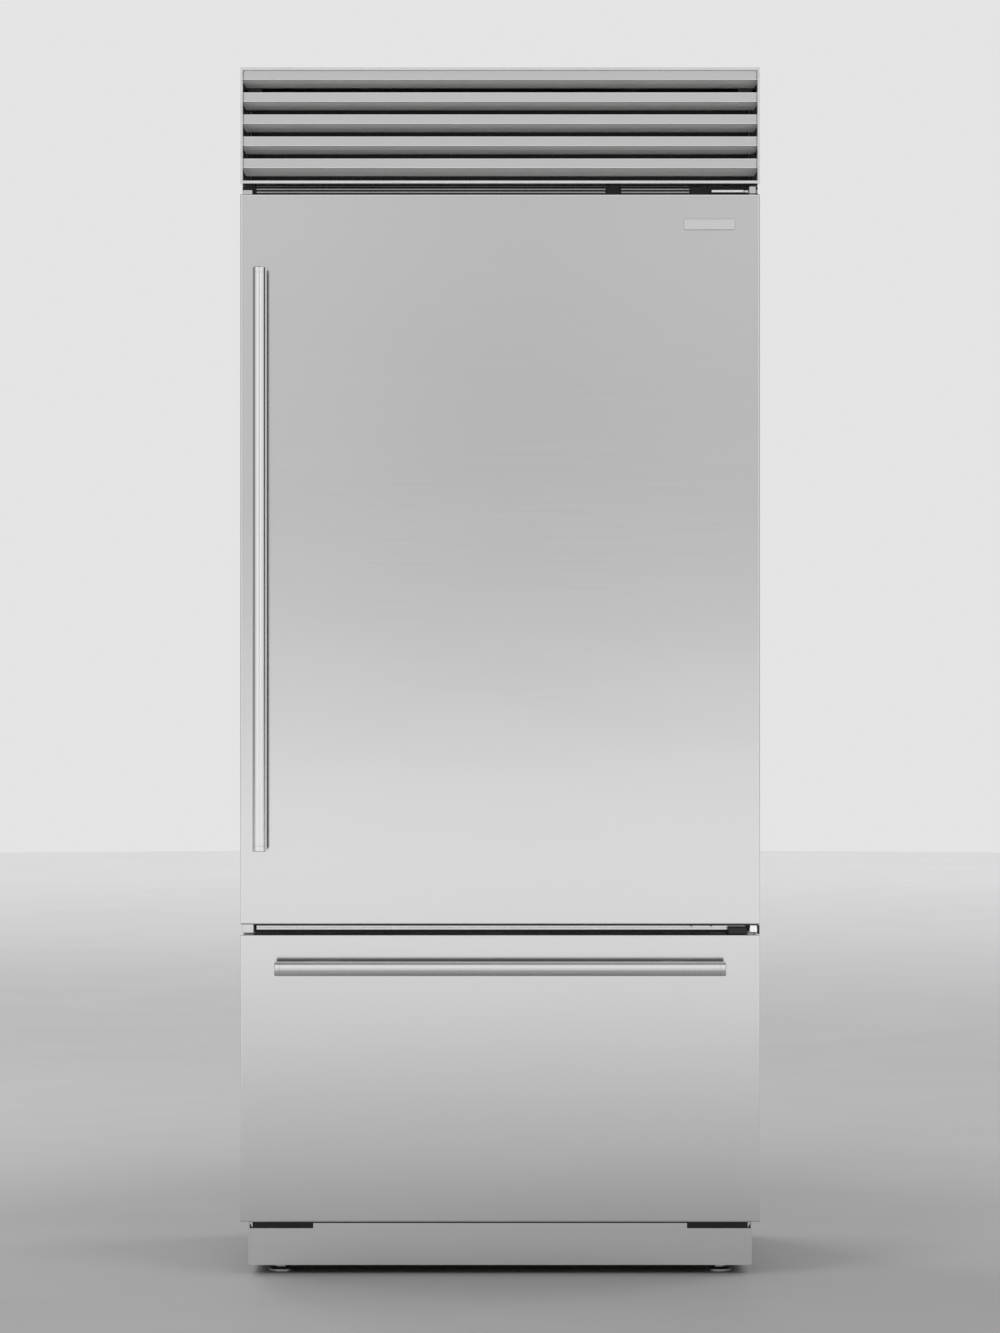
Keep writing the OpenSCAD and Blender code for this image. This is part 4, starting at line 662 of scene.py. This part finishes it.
tube_low, tube_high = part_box("door_handle_bar")
tube_shade_depth = (tube_low[1] + tube_high[1]) / 2 + 0.0005
tube_grey = grey(0.78)
# Behind the middle of each tube the colour turns dark grey: painted shade on the side toward the door.
for tube, name, rough in (("door_handle_bar", "brushed_tube_upright", 0.15),
                          ("drawer_handle_bar", "brushed_tube_level", 0.24)):
    dress(behind(brushed(name, tube_grey, rough, 0.6, 0.25), tube_shade_depth, grey(0.2), 0.3), tube)
dress(brushed("brushed_posts", tube_grey, 0.2, 0.0, 0.0), "door_handle_posts", "drawer_handle_posts")


# Drawer
# A stainless front filled with foam, like the door. It slides on telescopic steel runners and has
# its own magnetic gasket of rubber.
gasket("drawer_gasket", "freezer_drawer")


# Grille
# A thin stainless frame with five bent louvres. A brighter rim round the frame and bright strips at the
# louvres' bent edges are painted highlights, the louvres' flanges are painted lighter, and dark lines
# between rim and louvres are painted shade. An air filter of black foam sits behind the louvres and lifts
# with the grille.
def pair(inner, outer, depths, levels, r, axis=1):
    """Two blocks with round edges, one at each side, from inner to outer and between the depths."""
    return [block((low, depths[0], levels[0]), (high, depths[1], levels[1]), r, axis)
            for low, high in ((-outer, -inner), (inner, outer))]


grille_low, grille_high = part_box("grille_frame")
louvre_low, louvre_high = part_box("grille_louvres")
louvre_sheet = brushed("louvre_sheet", grey(0.69), 0.62, 0.0, 0.0)
dress(stainless, "grille_frame")
# Behind their front faces the louvres' flanges are a lighter grey: painted light where they face down into
# shade.
dress(behind(louvre_sheet, louvre_low[1] + 0.0004, (0.86, 0.86, 0.85)), "grille_louvres")

filter_foam, place, vary = finish("filter_foam", grey(0.012), 0.9)
pores = place.node("TexVoronoi", {"Vector": place, "Scale": 420.0}, out="Distance")
vary(Base_Color=pores.clipped(0.1, 0.6).between(grey(0.004), grey(0.02)),
     Roughness=pores.clipped(0, 1, 0.8, 0.95), Normal=pores.relief(0.0008))
filter_front, filter_side = -0.250, 0.4545
fit("air_filter",
    [block((-0.440, -0.222, 1.937), (0.440, -0.2142, 2.096), r=0.003)]
    + pair(0.4435, filter_side, depths=(filter_front, -0.2228), levels=(1.9345, 2.098), r=0.002)
    + pair(0.4200, filter_side, depths=(filter_front, -0.2458), levels=(2.092, 2.1095), r=0.001),
    filter_foam, "grille")

rim_front, rim_back = grille_low[1] - 0.0003, louvre_low[1] - 0.00005
rim_inner, rim_outer, rim_height, rim_edge = 0.4528, 0.4569, 0.0042, 0.0003
rim = pair(rim_inner, rim_outer, depths=(rim_front, rim_back),
           levels=(grille_low[2] + 0.0005, grille_high[2] - 0.0005), r=rim_edge, axis=2)
rim += [block((-0.4527, rim_front, low), (0.4527, rim_back, low + rim_height), rim_edge, axis=0)
        for low in (grille_low[2] + 0.0004, grille_high[2] - 0.0046)]
# The rim's paint is brighter than the louvres' steel: a painted highlight on the frame's edges.
fit("grille_rim", rim, painted("rim_bright", grey(0.76), 0.26, 0.8), "grille")

# Bright strips at the top and bottom of each louvre's face: painted highlights of its bent edges.
louvre_pitch, highlight_drops = 0.0388, (0.0013, 0.0165)
highlight_half, highlight_height, highlight_edge = 0.4550, 0.0012, 0.0002
highlight_levels = [louvre_high[2] - row * louvre_pitch - drop for row in range(5) for drop in highlight_drops]
highlight_sections = [loop((louvre_low[1] - 0.0002, level), (louvre_low[1] + 0.0008, level + highlight_height), highlight_edge)[0]
        for level in highlight_levels]
fit("louvre_edge_highlights", [bar(highlight_strip, -highlight_half, highlight_half) for highlight_strip in highlight_sections],
    painted("louvre_highlight_paint", grey(0.86), 0.35, 0.9), "grille")

seam_front, seam_back, seam_edge = rim_back - 0.0002, rim_back + 0.0002, 0.00008
seam_inner, seam_outer = 0.4512, 0.4520
# Dark lines in the seams between rim and louvres: painted shade in the gap between them.
fit("grille_seam_shade",
    [block((-seam_outer, seam_front, 2.1284), (seam_outer, seam_back, 2.1292), seam_edge)]
    + pair(seam_inner, seam_outer, depths=(seam_front, seam_back), levels=(1.936, 2.1290), r=seam_edge),
    strip_dark, "grille")


# Kick plate
# Bent stainless sheet with two notches in its top edge, screwed to the base. A black strip along the top
# is the painted shadow of the drawer's lower edge, and a black block in each notch is painted shade of the
# dark space behind it; a bright triangle at each end is a painted highlight where the end catches light.
dress(brushed("kick_sheet", grey(0.82), 0.14, 0.5, 0.25), "kick_plate")
kick_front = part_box("kick_plate")[0][1]
shade_strip_half, shade_strip_front, shade_strip_back = 0.4460, kick_front - 0.0004, kick_front + 0.0004
notch_shade_depths = (kick_front - 0.0006, kick_front + 0.0010)
# Black strip under the drawer: painted shadow of its lower edge; black blocks in the notches: painted shade.
fit("kick_painted_shade",
    [block((-shade_strip_half, shade_strip_front, 0.0914), (shade_strip_half, shade_strip_back, 0.0990), r=0.0002)]
    + pair(0.3317, 0.4393, notch_shade_depths, levels=(0.0824, 0.0985), r=0.0003),
    strip_black, "cabinet")
# Bright triangles at the outer ends of the notches: painted highlights where the end catches light.
highlight_corners = [(0.4462, 0.0930), (0.4394, 0.0930), (0.4394, 0.0834), (0.4410, 0.0862), (0.4432, 0.0900)]
highlight_depths = (kick_front - 0.0009, kick_front + 0.0004)
fit("kick_end_highlights", [bar([(side * x, z) for x, z in highlight_corners], *highlight_depths, axis=1) for side in (-1, 1)],
    bead_bright, "cabinet")
